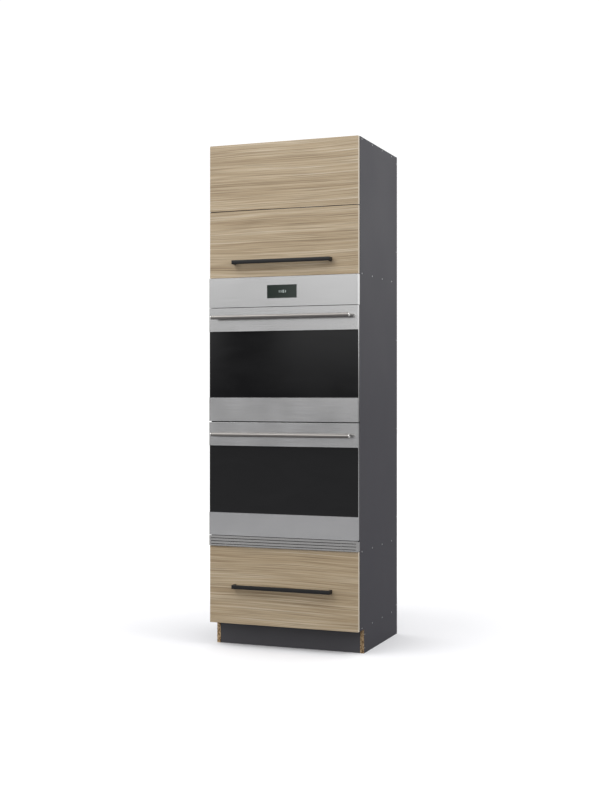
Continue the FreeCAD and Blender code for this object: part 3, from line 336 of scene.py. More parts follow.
def tinted_glass_and_shade(name, code, roughness, gloss):
    """Toughened float glass, drawn opaque: nearly black, even and sharp, with a trace of wiping
    marks. The near-black is partly the glass's tint and partly painted shade of the dark space
    behind it. The reflection is dulled to gloss."""
    material, tree = empty_material(name)
    place = add(tree, "ShaderNodeTexCoord").outputs["Object"]
    stroke = add(tree, "ShaderNodeMapping", {"Vector": place, "Scale": stretch(240, 90, 90)})
    wiped = add(tree, "ShaderNodeTexNoise", {"Vector": stroke.outputs["Vector"], "Scale": 1.0,
                                             "Detail": 5.0, "Distortion": 0.8})
    rough = add(tree, "ShaderNodeMapRange", {"Value": wiped.outputs["Fac"], "From Min": 0.3,
                                             "From Max": 0.7, "To Min": roughness,
                                             "To Max": roughness * 2.2})
    shade = add(tree, "ShaderNodeMapRange", {"Value": wiped.outputs["Fac"], "To Min": 0.75,
                                             "To Max": 1.25})
    base = add(tree, "ShaderNodeVectorMath", {0: linear(code)[:3],
                                              "Scale": shade.outputs["Result"]},
               operation="SCALE")
    close_material(tree, {"Base Color": base.outputs["Vector"],
                          "Roughness": rough.outputs["Result"], "IOR": 1.5,
                          "Specular IOR Level": gloss})
    return material


def speckled_enamel(name, code, fleck_code):
    """Vitreous enamel, fired: dark and glossy, with small pale flecks and a slightly wavy skin."""
    material, tree = empty_material(name)
    place = add(tree, "ShaderNodeTexCoord").outputs["Object"]
    fleck_size = 0.13       # share of the flecks' spacing
    cells = add(tree, "ShaderNodeTexVoronoi", {"Vector": place, "Scale": repeats(7.0)})
    fleck = add(tree, "ShaderNodeMath", {0: cells.outputs["Distance"], 1: fleck_size},
                operation="LESS_THAN")
    colour = add(tree, "ShaderNodeMix", {"Factor": fleck.outputs[0], "A": linear(code),
                                         "B": linear(fleck_code)}, data_type="RGBA")
    skin = add(tree, "ShaderNodeTexNoise", {"Vector": place, "Scale": repeats(9.0),
                                            "Detail": 2.0})
    rough = add(tree, "ShaderNodeMapRange", {"Value": skin.outputs["Fac"], "To Min": 0.14,
                                             "To Max": 0.30})
    relief = add(tree, "ShaderNodeBump", {"Height": skin.outputs["Fac"], "Strength": 0.5,
                                          "Distance": 0.08 * MM})
    close_material(tree, {"Base Color": colour.outputs["Result"],
                          "Normal": relief.outputs["Normal"],
                          "Roughness": rough.outputs["Result"]})
    return material


def galvanised_sheet():
    """Steel sheet, hot-dip galvanised: grey with a patchwork of dull and bright crystals."""
    material, tree = empty_material("galvanised_steel_dipped")
    place = add(tree, "ShaderNodeTexCoord").outputs["Object"]
    crystals = add(tree, "ShaderNodeTexVoronoi", {"Vector": place, "Scale": repeats(14.0)})
    tone = add(tree, "ShaderNodeSeparateColor", {"Color": crystals.outputs["Color"]})
    colour = set_ramp(add(tree, "ShaderNodeValToRGB", {"Fac": tone.outputs["Green"]}),
                      ((0.0, "#9EA2A4"), (1.0, "#C4C7C8")))
    rough = add(tree, "ShaderNodeMapRange", {"Value": tone.outputs["Green"], "To Min": 0.34,
                                             "To Max": 0.52})
    close_material(tree, {"Base Color": colour, "Metallic": 1.0,
                          "Roughness": rough.outputs["Result"]})
    return material


def woven_gasket():
    """Glass-fibre rope gasket, braided: matt grey-black with a slanting weave."""
    material, tree = empty_material("glass_fibre_gasket_braided")
    place = add(tree, "ShaderNodeTexCoord").outputs["Object"]
    mirrored = add(tree, "ShaderNodeMapping", {"Vector": place,
                                               "Scale": stretch(-1000, 1000, 1000)})
    one, other = (add(tree, "ShaderNodeTexWave", {"Vector": vector, "Scale": repeats(18.0),
                                                  "Distortion": 0.4}, bands_direction="DIAGONAL")
                  for vector in (place, mirrored.outputs["Vector"]))
    weave = add(tree, "ShaderNodeMath", {0: one.outputs["Fac"], 1: other.outputs["Fac"]},
                operation="MULTIPLY")
    colour = set_ramp(add(tree, "ShaderNodeValToRGB", {"Fac": weave.outputs[0]}),
                      ((0.0, "#1C1C1D"), (1.0, "#4A4A4C")))
    relief = add(tree, "ShaderNodeBump", {"Height": weave.outputs[0], "Strength": 0.8,
                                          "Distance": 0.4 * MM})
    close_material(tree, {"Base Color": colour, "Roughness": 0.9,
                          "Normal": relief.outputs["Normal"]})
    return material


def lit_digits():
    """Display digits: a pale, cool light behind the glass."""
    material, tree = empty_material("display_digits_lit")
    place = add(tree, "ShaderNodeTexCoord").outputs["Object"]
    grid = add(tree, "ShaderNodeTexNoise", {"Vector": place, "Scale": repeats(2.0),
                                            "Detail": 1.0})
    glow = set_ramp(add(tree, "ShaderNodeValToRGB", {"Fac": grid.outputs["Fac"]}),
                    ((0.2, "#C9DAD6"), (0.8, "#F2FAF8")))
    close_material(tree, {"Base Color": glow, "Roughness": 0.4, "Emission Color": glow,
                          "Emission Strength": 0.35})
    return material


def finish_nodes(material, slot_name, *names):
    """Gives CAD nodes a finish. Their shapes stay as they are."""
    for name in names:
        node = frame["nodes"][name]
        node.data.materials.clear()
        node.data.materials.append(material)


# ---------------------------------------------------------------- mesh helpers
def block(bm, low, high):
    """A box between two corners."""
    extent = [b - a for a, b in zip(low, high)]
    centre = Vector([(a + b) / 2 for a, b in zip(low, high)])
    made = bmesh.ops.create_cube(bm, size=1.0, matrix=Matrix.Translation(centre)
                                 @ Matrix.Diagonal(extent + [1.0]))
    return made["verts"]


def round_bar(bm, radius, start, end, sides):
    """A closed cylinder between two points."""
    way = Vector(end) - Vector(start)
    turn = Vector((0, 0, 1)).rotation_difference(way).to_matrix().to_4x4()
    place = Matrix.Translation((Vector(start) + Vector(end)) / 2) @ turn
    made = bmesh.ops.create_cone(bm, cap_ends=True, segments=sides, radius1=radius, radius2=radius,
                                 depth=way.length, matrix=place)
    return made["verts"]


def edges_of(verts, keep):
    """Edges between the given points for which keep(edge) is true."""
    mine = set(verts)
    edges = {e for v in verts for e in v.link_edges if e.verts[0] in mine and e.verts[1] in mine}
    return [e for e in edges if keep(e)]


def soften(bm, edges, offset, steps):
    """Rounds edges off by offset."""
    return bmesh.ops.bevel(bm, geom=edges, offset=offset, offset_type="OFFSET", segments=steps,
                           profile=0.5, affect="EDGES", material=-1, clamp_overlap=True)


def is_rim(edge):
    """An edge between a cylinder's end and its side."""
    return len(edge.link_faces) == 2 and edge.calc_face_angle(0.0) > math.radians(60)


def make_piece(name, bm, body, materials, replaced=()):
    """Turns a bmesh into a piece that rides on a body and may stand for CAD nodes."""
    mesh = bpy.data.meshes.new(name)
    bm.to_mesh(mesh)
    bm.free()
    for material in materials:
        mesh.materials.append(material)
    mesh.shade_smooth()
    mesh.set_sharp_from_angle(angle=math.radians(32))
    piece = bpy.data.objects.new(name, mesh)
    bpy.context.scene.collection.objects.link(piece)
    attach(piece, body)
    if replaced:
        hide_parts(*replaced)
    return piece


def node_islands(name):
    """The boxes (low, high) of the separate solids in a CAD node."""
    bm = bmesh.new()
    bm.from_mesh(frame["nodes"][name].data)
    bmesh.ops.remove_doubles(bm, verts=bm.verts, dist=0.01 * MM)
    left = set(bm.verts)
    boxes = []
    while left:
        todo = [left.pop()]
        points = []
        while todo:
            vert = todo.pop()
            points.append(vert.co.copy())
            for edge in vert.link_edges:
                other = edge.other_vert(vert)
                if other in left:
                    left.remove(other)
                    todo.append(other)
        boxes.append((Vector([min(p[i] for p in points) for i in range(3)]),
                      Vector([max(p[i] for p in points) for i in range(3)])))
    bm.free()
    return sorted(boxes, key=lambda b: tuple(round(c, 4) for c in b[0]))


# ---------------------------------------------------------------- fine pieces
def bar_handle(name, node, sizes, material):
    """A square bar bent to a U: one long grip with two posts, its outer corners rounded."""
    low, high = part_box(node)
    thick = sizes.bar_thickness
    bm = bmesh.new()
    block(bm, low, (high.x, low.y + thick, high.z))
    gap = high.x - thick
    for x in (-gap, gap):
        everything = list(bm.verts) + list(bm.edges) + list(bm.faces)
        bmesh.ops.bisect_plane(bm, geom=everything, plane_co=(x, 0, 0), plane_no=(1, 0, 0))
    backs = [f for f in bm.faces if f.normal.y > 0.9 and abs(f.calc_center_median().x) > gap]
    made = bmesh.ops.extrude_face_region(bm, geom=backs)
    moved = [g for g in made["geom"] if isinstance(g, bmesh.types.BMVert)]
    bmesh.ops.translate(bm, verts=moved, vec=(0, high.y - low.y - thick, 0))
    bm.normal_update()
    corners = [e for e in bm.edges if abs(e.verts[0].co.z - e.verts[1].co.z) > thick / 2
               and all(v.co.y < low.y + MM and abs(abs(v.co.x) - high.x) < MM for v in e.verts)]
    soften(bm, corners, sizes.bar_corner, steps=6)
    sharp = [e for e in bm.edges if len(e.link_faces) == 2
             and e.calc_face_angle(0.0) > math.radians(40)
             and not all(v.co.y > high.y - MM / 2 for v in e.verts)]
    soften(bm, sharp, sizes.bar_edge, steps=2)
    body = frame["nodes"][node]["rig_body"]
    return make_piece(name, bm, body, [material], (node,))


def tube_handle(name, node, sizes, tube_material, cap_material):
    """A round tube with a polished plug in each end, on two turned posts with a shoulder."""
    low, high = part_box(node)
    radius = (high.z - low.z) / 2
    y = low.y + radius
    z = (low.z + high.z) / 2
    inside = high.x - sizes.tube_plug
    dish_rim = radius * 0.42
    dish_wall, dish_depth = 0.4 * MM, 0.6 * MM
    collar_lip, collar_height = 1.6 * MM, 2.4 * MM
    bm = bmesh.new()
    tube = round_bar(bm, radius, (-inside, y, z), (inside, y, z), TUBE_SIDES)
    soften(bm, edges_of(tube, is_rim), 0.25 * MM, 1)
    for side in (-1, 1):
        verts = round_bar(bm, radius, (side * inside, y, z), (side * high.x, y, z), TUBE_SIDES)
        rims = edges_of(verts, is_rim)
        faces = {f for v in verts for f in v.link_faces}
        for face in faces:
            face.material_index = 1
        soften(bm, rims, 0.9 * MM, 3)
        end = [f for f in bm.faces if f.normal.x * side > 0.99 and len(f.verts) > 20
               and abs(f.calc_center_median().x - side * high.x) < MM / 10]
        inner = bmesh.ops.inset_individual(bm, faces=end, thickness=dish_rim, depth=0.0)
        bmesh.ops.inset_individual(bm, faces=end, thickness=dish_wall, depth=-dish_depth)
        for face in inner["faces"] + end:
            face.material_index = 1
        post_x = side * (high.x - sizes.post_inset)
        post = round_bar(bm, sizes.post_radius, (post_x, y, z), (post_x, high.y, z), POST_SIDES)
        soften(bm, edges_of(post, lambda e: is_rim(e) and e.verts[0].co.y > y + MM), 0.3 * MM, 1)
        collar = round_bar(bm, sizes.post_radius + collar_lip, (post_x, high.y - collar_height, z),
                           (post_x, high.y, z), POST_SIDES)
        soften(bm, edges_of(collar, is_rim), 0.5 * MM, 2)
    body = frame["nodes"][node]["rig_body"]
    return make_piece(name, bm, body, [tube_material, cap_material], (node,))


def panel_screw_heads(sizes, material, socket_shade_material):
    """Every carcase screw: a flat round head with a sunk socket, and its plain shank."""
    head_depth = 3.2 * MM
    shank_radius = sizes.screw_head * 0.62
    socket_rim = sizes.screw_head * 0.45
    socket_wall, socket_depth = 0.15 * MM, 1.6 * MM
    bm = bmesh.new()
    for low, high in node_islands("panel_screws"):
        side = 1 if high.x > 0 else -1
        face_x = high.x if side > 0 else low.x
        tip_x = low.x if side > 0 else high.x
        y = (low.y + high.y) / 2
        z = (low.z + high.z) / 2
        head_in = face_x - side * head_depth
        head = round_bar(bm, sizes.screw_head, (head_in, y, z), (face_x, y, z), HEAD_SIDES)
        outer = edges_of(head, lambda e: is_rim(e) and abs(e.verts[0].co.x - face_x) < MM / 10)
        soften(bm, outer, 0.35 * MM, 2)
        round_bar(bm, shank_radius, (tip_x, y, z), (head_in, y, z), SHANK_SIDES)
        caps = [f for f in bm.faces if f.normal.x * side > 0.99 and len(f.verts) == HEAD_SIDES
                and abs(f.calc_center_median().x - face_x) < MM / 10
                and abs(f.calc_center_median().z - z) < MM
                and abs(f.calc_center_median().y - y) < MM]
        bmesh.ops.inset_individual(bm, faces=caps, thickness=socket_rim, depth=0.0)
        bmesh.ops.inset_individual(bm, faces=caps, thickness=socket_wall, depth=-socket_depth)
        # The socket's floor takes the painted shade.
        for cap in caps:
            cap.material_index = 1
    return make_piece("panel_screw_heads", bm, "root", [material, socket_shade_material],
                      ("panel_screws",))


def digit_bars(width, height, stroke):
    """Box spans (x0, x1, z0, z1) of the seven bars of a digit, from its lower left corner."""
    mid = height / 2
    half = stroke / 2
    gap = stroke * 0.18
    return {    # a on top, b and c down the right, d at the foot, e and f up the left, g midway
        "a": (stroke, width - stroke, height - stroke, height),
        "g": (stroke, width - stroke, mid - half, mid + half),
        "d": (stroke, width - stroke, 0.0, stroke),
        "f": (0.0, stroke, mid + gap, height - gap),
        "b": (width - stroke, width, mid + gap, height - gap),
        "e": (0.0, stroke, gap, mid - gap),
        "c": (width - stroke, width, gap, mid - gap),
    }


def display_digits(sizes, clock, material):
    """A plain clock in seven-bar digits, just in front of the display window."""
    low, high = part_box("display_window")
    middle_z = (low.z + high.z) / 2
    tall = sizes.digit_height
    wide = tall * DIGIT_WIDTH
    pitch = tall * DIGIT_PITCH
    colon = tall * COLON_PITCH
    dot = tall * DOT_HALF
    bars = digit_bars(wide, tall, tall * STROKE)
    total = sum(colon if c == ":" else pitch for c in clock) - (pitch - wide)
    x = -total / 2
    front, rear = low.y - 0.15 * MM, low.y + 0.05 * MM
    base = middle_z - tall / 2
    bm = bmesh.new()
    for character in clock:
        if character == ":":
            inset = colon * 0.2
            for level in (0.3, 0.7):
                z = base + tall * level
                block(bm, (x - dot + inset, front, z - dot), (x + dot + inset, rear, z + dot))
            x += colon
            continue
        for bar in BARS_LIT[character]:
            x0, x1, z0, z1 = bars[bar]
            block(bm, (x + x0, front, base + z0), (x + x1, rear, base + z1))
        x += pitch
    return make_piece("display_digits", bm, "root", [material])


def turn_wire(bm, face, centre, axis, angle, steps):
    """Carries a wire's end face round a bend."""
    geometry = [face] + list(face.edges) + list(face.verts)
    made = bmesh.ops.spin(bm, geom=geometry, cent=centre, axis=axis, dvec=(0, 0, 0), angle=angle,
                          steps=steps, use_merge=False, use_duplicate=False)
    return next(g for g in made["geom_last"] if isinstance(g, bmesh.types.BMFace))


def push_wire(bm, face, way):
    """Carries a wire's end face straight on."""
    made = bmesh.ops.extrude_face_region(bm, geom=[face])
    verts = [g for g in made["geom"] if isinstance(g, bmesh.types.BMVert)]
    bmesh.ops.translate(bm, verts=verts, vec=way)
    return next(g for g in made["geom"] if isinstance(g, bmesh.types.BMFace))


def wire_ring(bm, radius, sides, place, heading):
    """A filled ring at the start of a wire that sets off along heading."""
    turn = Vector((0, 0, 1)).rotation_difference(Vector(heading)).to_matrix().to_4x4()
    made = bmesh.ops.create_circle(bm, cap_ends=True, radius=radius, segments=sides,
                                   matrix=Matrix.Translation(place) @ turn)
    return made["verts"][0].link_faces[0]


def wire_rack(name, node, sizes, material):
    """A shelf of round wire: a bent frame, a stay across it and bars welded on top."""
    low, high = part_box(node)
    rod = sizes.rack_rod
    bar = sizes.rack_bar
    z = low.z + rod
    bend = sizes.rack_bend
    x0, x1 = low.x + rod, high.x - rod
    y0, y1 = low.y + rod, high.y - rod
    bm = bmesh.new()
    face = wire_ring(bm, rod, ROD_SIDES, Vector((x0 + bend, y0, z)), (1, 0, 0))
    first = face
    turns = (((x1 - x0 - 2 * bend, 0, 0), (x1 - bend, y0 + bend, z)),
             ((0, y1 - y0 - 2 * bend, 0), (x1 - bend, y1 - bend, z)),
             ((x0 - x1 + 2 * bend, 0, 0), (x0 + bend, y1 - bend, z)),
             ((0, y0 - y1 + 2 * bend, 0), (x0 + bend, y0 + bend, z)))
    for way, centre in turns:
        face = push_wire(bm, face, way)
        face = turn_wire(bm, face, centre, (0, 0, 1), math.pi / 2, RACK_BEND_STEPS)
    bmesh.ops.delete(bm, geom=[f for f in (first, face) if f.is_valid], context="FACES_ONLY")
    bmesh.ops.remove_doubles(bm, verts=bm.verts, dist=0.02 * MM)
    bmesh.ops.recalc_face_normals(bm, faces=bm.faces)
    round_bar(bm, rod, (x0, (y0 + y1) / 2, z), (x1, (y0 + y1) / 2, z), ROD_SIDES)
    top = high.z - bar
    count = sizes.rack_bars
    inner = (x1 - x0) / 2 - bend
    for i in range(count):
        x = -inner + 2 * inner * i / (count - 1)
        verts = round_bar(bm, bar, (x, y0 - rod / 2, top), (x, y1 + rod / 2, top),
                          RACK_BAR_SIDES)
        soften(bm, edges_of(verts, is_rim), 0.4 * MM, 1)
    body = frame["nodes"][node]["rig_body"]
    return make_piece(name, bm, body, [material], (node,))


def heating_tubes(sizes, material):
    """The bent grill tubes under each ceiling, round in section."""
    bm = bmesh.new()
    for low, high in node_islands("broil_elements"):
        r = (high.z - low.z) / 2
        z = (low.z + high.z) / 2
        pitch = (high.x - low.x - 2 * r) / (sizes.element_legs - 1)
        bend = pitch / 2
        near = low.y + r
        far = high.y - sizes.element_rear_gap
        x = low.x + r
        face = wire_ring(bm, r, ELEMENT_SIDES, Vector((x, high.y, z)), (0, -1, 0))
        face = push_wire(bm, face, (0, near + bend - high.y, 0))
        for leg in range(sizes.element_legs - 1):
            front = leg % 2 == 0
            centre = (x + bend, near + bend if front else far - bend, z)
            face = turn_wire(bm, face, centre, (0, 0, 1 if front else -1), math.pi,
                             ELEMENT_BEND_STEPS)
            x += pitch
            last = leg == sizes.element_legs - 2
            run = far - near - 2 * bend if not last else high.y - near - bend
            face = push_wire(bm, face, (0, run if front else -run, 0))
    bmesh.ops.recalc_face_normals(bm, faces=bm.faces)
    return make_piece("heating_tubes", bm, "root", [material], ("broil_elements",))


# ---------------------------------------------------------------- stage
def floor_paint(stage):
    """Floor paint, rolled: matt. Where the camera sees it, it is darker round the unit and white
    farther off: painted shade. Where the unit mirrors it and where it lights the unit, darker
    copies of it stand in as painted shade."""
    material, tree = empty_material("floor_paint_matt")
    place = add(tree, "ShaderNodeTexCoord").outputs["Object"]
    clouds_in_metre = 0.8
    cloud = add(tree, "ShaderNodeTexNoise", {"Vector": place, "Scale": clouds_in_metre,
                                             "Detail": 3.0})
    drift = add(tree, "ShaderNodeMapRange", {"Value": cloud.outputs["Fac"], "To Min": 0.99,
                                             "To Max": 1.01})
    reach = add(tree, "ShaderNodeVectorMath", {0: place}, operation="LENGTH")
    away = add(tree, "ShaderNodeMapRange", {"Value": reach.outputs["Value"], "From Min": 0.9,
                                            "From Max": 2.6})
    base = add(tree, "ShaderNodeMix", {"Factor": away.outputs["Result"],
                                       "A": linear(stage.floor_shaded_near),
                                       "B": linear(stage.floor_far)}, data_type="RGBA")
    base = add(tree, "ShaderNodeVectorMath", {0: base.outputs["Result"],
                                              "Scale": drift.outputs["Result"]},
               operation="SCALE")
    seen_floor = add(tree, "ShaderNodeBsdfDiffuse", {"Color": base.outputs["Vector"]})
    # Painted shade: mirrored rays and bounce rays see darker copies of the floor.
    ray = add(tree, "ShaderNodeLightPath")
    shade = add(tree, "ShaderNodeMix", {"Factor": ray.outputs["Is Glossy Ray"],
                                        "A": linear(stage.floor_bounce_shade),
                                        "B": linear(stage.floor_mirrored_shade)}, data_type="RGBA")
    shaded_floor_copy = add(tree, "ShaderNodeBsdfDiffuse", {"Color": shade.outputs["Result"]})
    both = add(tree, "ShaderNodeMixShader", {0: ray.outputs["Is Camera Ray"],
                                             1: shaded_floor_copy.outputs[0],
                                             2: seen_floor.outputs[0]})
    add(tree, "ShaderNodeOutputMaterial", {"Surface": both.outputs[0]})
    return material


def lay_floor(scene, stage):
    """A wide, flat floor."""
    half_width = 30.0
    bm = bmesh.new()
    bmesh.ops.create_grid(bm, x_segments=1, y_segments=1, size=half_width)
    mesh = bpy.data.meshes.new("floor")
    bm.to_mesh(mesh)
    bm.free()
    mesh.materials.append(floor_paint(stage))
    floor = bpy.data.objects.new("floor", mesh)
    scene.collection.objects.link(floor)


def studio_world():
    """A white studio: walls that are dim at the floor, bright above it and dimmer towards the
    ceiling, and plain white where the camera sees them."""
    world = bpy.data.worlds.new("studio")
    world.use_nodes = True
    tree = world.node_tree
    tree.nodes.clear()
    ray = add(tree, "ShaderNodeLightPath")
    way = add(tree, "ShaderNodeTexCoord").outputs["Generated"]
    ways = add(tree, "ShaderNodeSeparateXYZ", {"Vector": way})
    height = ways.outputs["Z"]
    low_sky = add(tree, "ShaderNodeMapRange", {"Value": height, "From Min": -0.005,
                                               "From Max": 0.07, "To Min": 0.10,
                                               "To Max": 1.35})
    high_sky = add(tree, "ShaderNodeMapRange", {"Value": height, "From Min": 0.08,
                                                "From Max": 0.9, "To Min": 0.0,
                                                "To Max": -0.28})
    level = add(tree, "ShaderNodeMath", {0: low_sky.outputs["Result"],
                                         1: high_sky.outputs["Result"]}, operation="ADD")
    # A narrow dark opening between two studio walls, which the oven's glass and steel mirror.
    depth = add(tree, "ShaderNodeMath", {0: ways.outputs["Y"]}, operation="ABSOLUTE")
    aside = add(tree, "ShaderNodeMath", {0: ways.outputs["X"], 1: depth.outputs[0]},
                operation="DIVIDE")
    left_wall = add(tree, "ShaderNodeMapRange", {"Value": aside.outputs[0], "From Min": -0.475,
                                                 "From Max": -0.445},
                    interpolation_type="SMOOTHSTEP")
    right_wall = add(tree, "ShaderNodeMapRange", {"Value": aside.outputs[0], "From Min": -0.43,
                                                  "From Max": -0.38, "To Min": 1.0,
                                                  "To Max": 0.0},
                     interpolation_type="SMOOTHSTEP")
    opening = add(tree, "ShaderNodeMath", {0: left_wall.outputs["Result"],
                                           1: right_wall.outputs["Result"]},
                  operation="MULTIPLY")
    open_wall = add(tree, "ShaderNodeMapRange", {"Value": opening.outputs[0], "To Min": 1.0,
                                                 "To Max": 0.1})
    level = add(tree, "ShaderNodeMath", {0: level.outputs[0], 1: open_wall.outputs["Result"]},
                operation="MULTIPLY")
    sky = add(tree, "ShaderNodeBackground", {"Color": linear("#FFFFFF"),
                                             "Strength": level.outputs[0]})
    seen = add(tree, "ShaderNodeBackground", {"Color": linear("#FFFFFF"), "Strength": 1.05})
    both = add(tree, "ShaderNodeMixShader", {0: ray.outputs["Is Camera Ray"],
                                             1: sky.outputs[0], 2: seen.outputs[0]})
    add(tree, "ShaderNodeOutputWorld", {"Surface": both.outputs[0]})
    return world


def hang_lights(scene, stage):
    """Two large soft lights, high up in front and at the right."""
    # Name, power, width of the square, place, and the point that it faces, in metres.
    lights = (("key_light", stage.key_power, 3.2, (-1.9, -3.3, 4.9), (0.0, -0.3, 1.7)),
              ("side_light", stage.side_power, 2.4, (3.4, -0.8, 4.2), (0.38, 0.0, 2.2)))
    for name, power, width, spot, target in lights:
        lamp = bpy.data.lights.new(name, "AREA")
        lamp.energy = power
        lamp.size = width
        holder = bpy.data.objects.new(name, lamp)
        holder.location = spot
        aim = Vector(target) - Vector(spot)
        holder.rotation_euler = aim.to_track_quat("-Z", "Y").to_euler()
        scene.collection.objects.link(holder)


def set_camera(scene, stage):
    """A level camera with a shifted lens, as the photo was taken."""
    lens = bpy.data.cameras.new("view")
    lens.sensor_fit = "VERTICAL"
    lens.sensor_height = 36.0
    lens.lens = stage.focal_length
    lens.shift_y = stage.shift
    lens.clip_end = 100.0
    camera = bpy.data.objects.new("view", lens)
    camera.location = stage.camera_place
    camera.rotation_euler = (math.pi / 2, 0.0, stage.camera_turn)
    scene.collection.objects.link(camera)
    scene.camera = camera
    scene.view_settings.view_transform = "Standard"


# ---------------------------------------------------------------- settings
def size(name, description, default_mm):
    """A length that the user can change."""
    return FloatProperty(name=name, description=description, default=default_mm * MM, min=0.0,
                         unit="LENGTH", subtype="DISTANCE", precision=4)


def hex_colour(name, description, default):
    """A colour that the user can change."""
    return StringProperty(name=name, description=description, default=default, maxlen=7)


class UnitFinishes(bpy.types.PropertyGroup):
    """Colours and pattern sizes of the finishes."""
    oak_dark: hex_colour("Oak, dark streak", "sRGB hex of the darkest grain", "#7C674A")
    oak_middle: hex_colour("Oak, middle", "sRGB hex of the middle grain", "#A79274")
    oak_light: hex_colour("Oak, light", "sRGB hex of the light grain", "#BCA98C")
    oak_pale: hex_colour("Oak, pale", "sRGB hex of the palest grain", "#D3C5AF")
    oak_band: hex_colour("Oak edge band", "sRGB hex of the fronts' edges", "#D2C6B3")
    # Painted shade: the near-black colour of the edges that meet at the flap's fold, for the shade
    # in the gap.
    fold_shade_colour: hex_colour("Fold shade", "sRGB hex of the edges at the flap's fold", "#161412")
    graphite: hex_colour("Graphite board", "sRGB hex of the carcase", "#3A393F")
    plinth: hex_colour("Plinth board", "sRGB hex of the plinth", "#464549")
    steel: hex_colour("Stainless steel", "sRGB hex of the oven's sheet", "#C8C8C8")
    vent: hex_colour("Vent steel", "sRGB hex of the vent strip's sheet", "#BAB9B7")
    # Painted shade: the tube handles are a darker copy of the oven's stainless steel.
    tube: hex_colour("Tube handle", "sRGB hex of the oven's tube handles", "#807D7A")
    # Painted shade: the vent strip's steel is a darker copy of the oven's steel, for the dimmer
    # light low on the oven.
    glass: hex_colour("Door glass", "sRGB hex behind the glass", "#1B1B1C")
    display: hex_colour("Display", "sRGB hex behind the display's glass", "#232D28")
    handle: hex_colour("Bar handle", "sRGB hex of the powder coat", "#171718")
    fold_shade_reach: size("Fold shade reach", "Painted shade at the fold, up and down from its middle", 1.8)
    grain_width: size("Grain width", "Width of one streak of the oak print", 8.0)


class UnitSizes(bpy.types.PropertyGroup):
    """Sizes of the fine pieces."""
    bar_thickness: size("Bar thickness", "Front handles: depth of the square bar", 11.0)
    bar_corner: size("Bar corner", "Front handles: radius of the outer corners", 2.4)
    bar_edge: size("Bar edge", "Front handles: softness of the long edges", 0.7)
    tube_plug: size("Tube plug", "Oven handles: visible length of the end plug", 3.0)
    post_inset: size("Post inset", "Oven handles: posts from the tube's ends", 26.0)
    post_radius: size("Post radius", "Oven handles: radius of the posts", 6.5)
    screw_head: size("Screw head", "Radius of the carcase screws' heads", 4.0)
    digit_height: size("Digit height", "Height of the clock's digits", 12.0)
    rack_rod: size("Rack rod", "Radius of the oven rack's frame", 3.0)
    rack_bar: size("Rack bar", "Radius of the oven rack's bars", 2.0)
    rack_bend: size("Rack bend", "Corner radius of the oven rack's frame", 16.0)
    element_rear_gap: size("Element rear gap", "Grill tube's rear bends from the rear wall", 60.0)
    rack_bars: bpy.props.IntProperty(name="Rack bars", description="Bars on one rack", default=13,
                                     min=2)
    element_legs: bpy.props.IntProperty(name="Grill legs", description="Runs of one grill tube",
                                        default=4, min=2)
    clock: StringProperty(name="Clock", description="What the display shows", default="11:01")


class StageSettings(bpy.types.PropertyGroup):
    """Camera and light."""
    camera_place: FloatVectorProperty(name="Camera", description="Place of the camera", size=3,
                                      default=(2.27169, -5.93479, 1.23724), subtype="TRANSLATION",
                                      unit="LENGTH")
    camera_turn: FloatProperty(name="Camera turn",
                               description="Turn of the camera about the vertical",
                               default=math.radians(21.108), subtype="ANGLE")
    focal_length: FloatProperty(name="Focal length", description="Lens, in millimetres",
                                default=57.48, min=1.0)
    shift: FloatProperty(name="Shift", description="Vertical shift of the lens", default=-0.0105)
    # Painted shade: the floor round the unit, the floor that the metal mirrors and the floor that
    # lights the unit are darker than the white far floor.
    floor_shaded_near: hex_colour("Floor", "sRGB hex of the floor round the unit", "#EAEAEC")
    floor_far: hex_colour("Far floor", "sRGB hex of the floor farther off", "#FFFFFF")
    floor_mirrored_shade: hex_colour("Floor in steel",
                            "sRGB hex of the floor as the unit's metal mirrors it", "#A6A6A8")
    floor_bounce_shade: hex_colour("Floor bounce", "sRGB hex of the floor as it lights the unit",
                             "#45464D")
    key_power: FloatProperty(name="Key light",
                             description="Power of the large soft light, in watts",
                             default=98.0, min=0.0)
    side_power: FloatProperty(name="Side light",
                              description="Power of the light on the side, in watts",
                              default=55.0, min=0.0)


# ---------------------------------------------------------------- operators
class OVENUNIT_OT_boards(bpy.types.Operator):
    """Finish the carcase boards, plinth, shelf pins and screws"""
    bl_idname = "ovenunit.boards"
    bl_label = "Carcase boards"

    def execute(self, context):
        finish = context.scene.unit_finishes
        sizes = context.scene.unit_sizes
        plinth_low, plinth_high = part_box("plinth_board")
        graphite = graphite_board(finish, plinth_low.y, plinth_high.z)
        finish_nodes(graphite, "carcase_board", "side_panel_left", "side_panel_right", "top_panel",
                     "bottom_panel", "oven_shelf", "upper_shelf", "back_panel", "adjustable_shelf")
        # Chipboard in dark melamine, pressed: even and dry.
        plinth = plain_finish("plinth_melamine_pressed", finish.plinth, drift=0.04, grain_mm=1.4,
                              roughness=0.5, rough_drift=0.06, relief_mm=0.05)
        finish_nodes(plinth, "plinth_board", "plinth_board")
        # Nickel plate over moulded pins: warm, bright and smooth.
        nickel = plain_finish("shelf_pin_nickel_plated", "#C9C6BE", drift=0.04, grain_mm=0.8,
                              roughness=0.28, rough_drift=0.05, relief_mm=0.01, metallic=1.0)
        finish_nodes(nickel, "pin_nickel", "shelf_pins")
        # Zinc plate, tumbled: cool grey with small dull marks.
        zinc = plain_finish("screw_zinc_plated", "#D4D5D6", drift=0.08, grain_mm=1.0,
                            roughness=0.36, rough_drift=0.08, relief_mm=0.03, metallic=1.0)
        # The bottom of the screws' sockets: painted shade for the hollow, dark and dull.
        socket = plain_finish("screw_socket_painted_shade", "#3A3A3C", drift=0.05, grain_mm=1.0,
                              roughness=0.6, rough_drift=0.05, relief_mm=0.02, metallic=0.6)
        panel_screw_heads(sizes, zinc, socket)
        return {"FINISHED"}


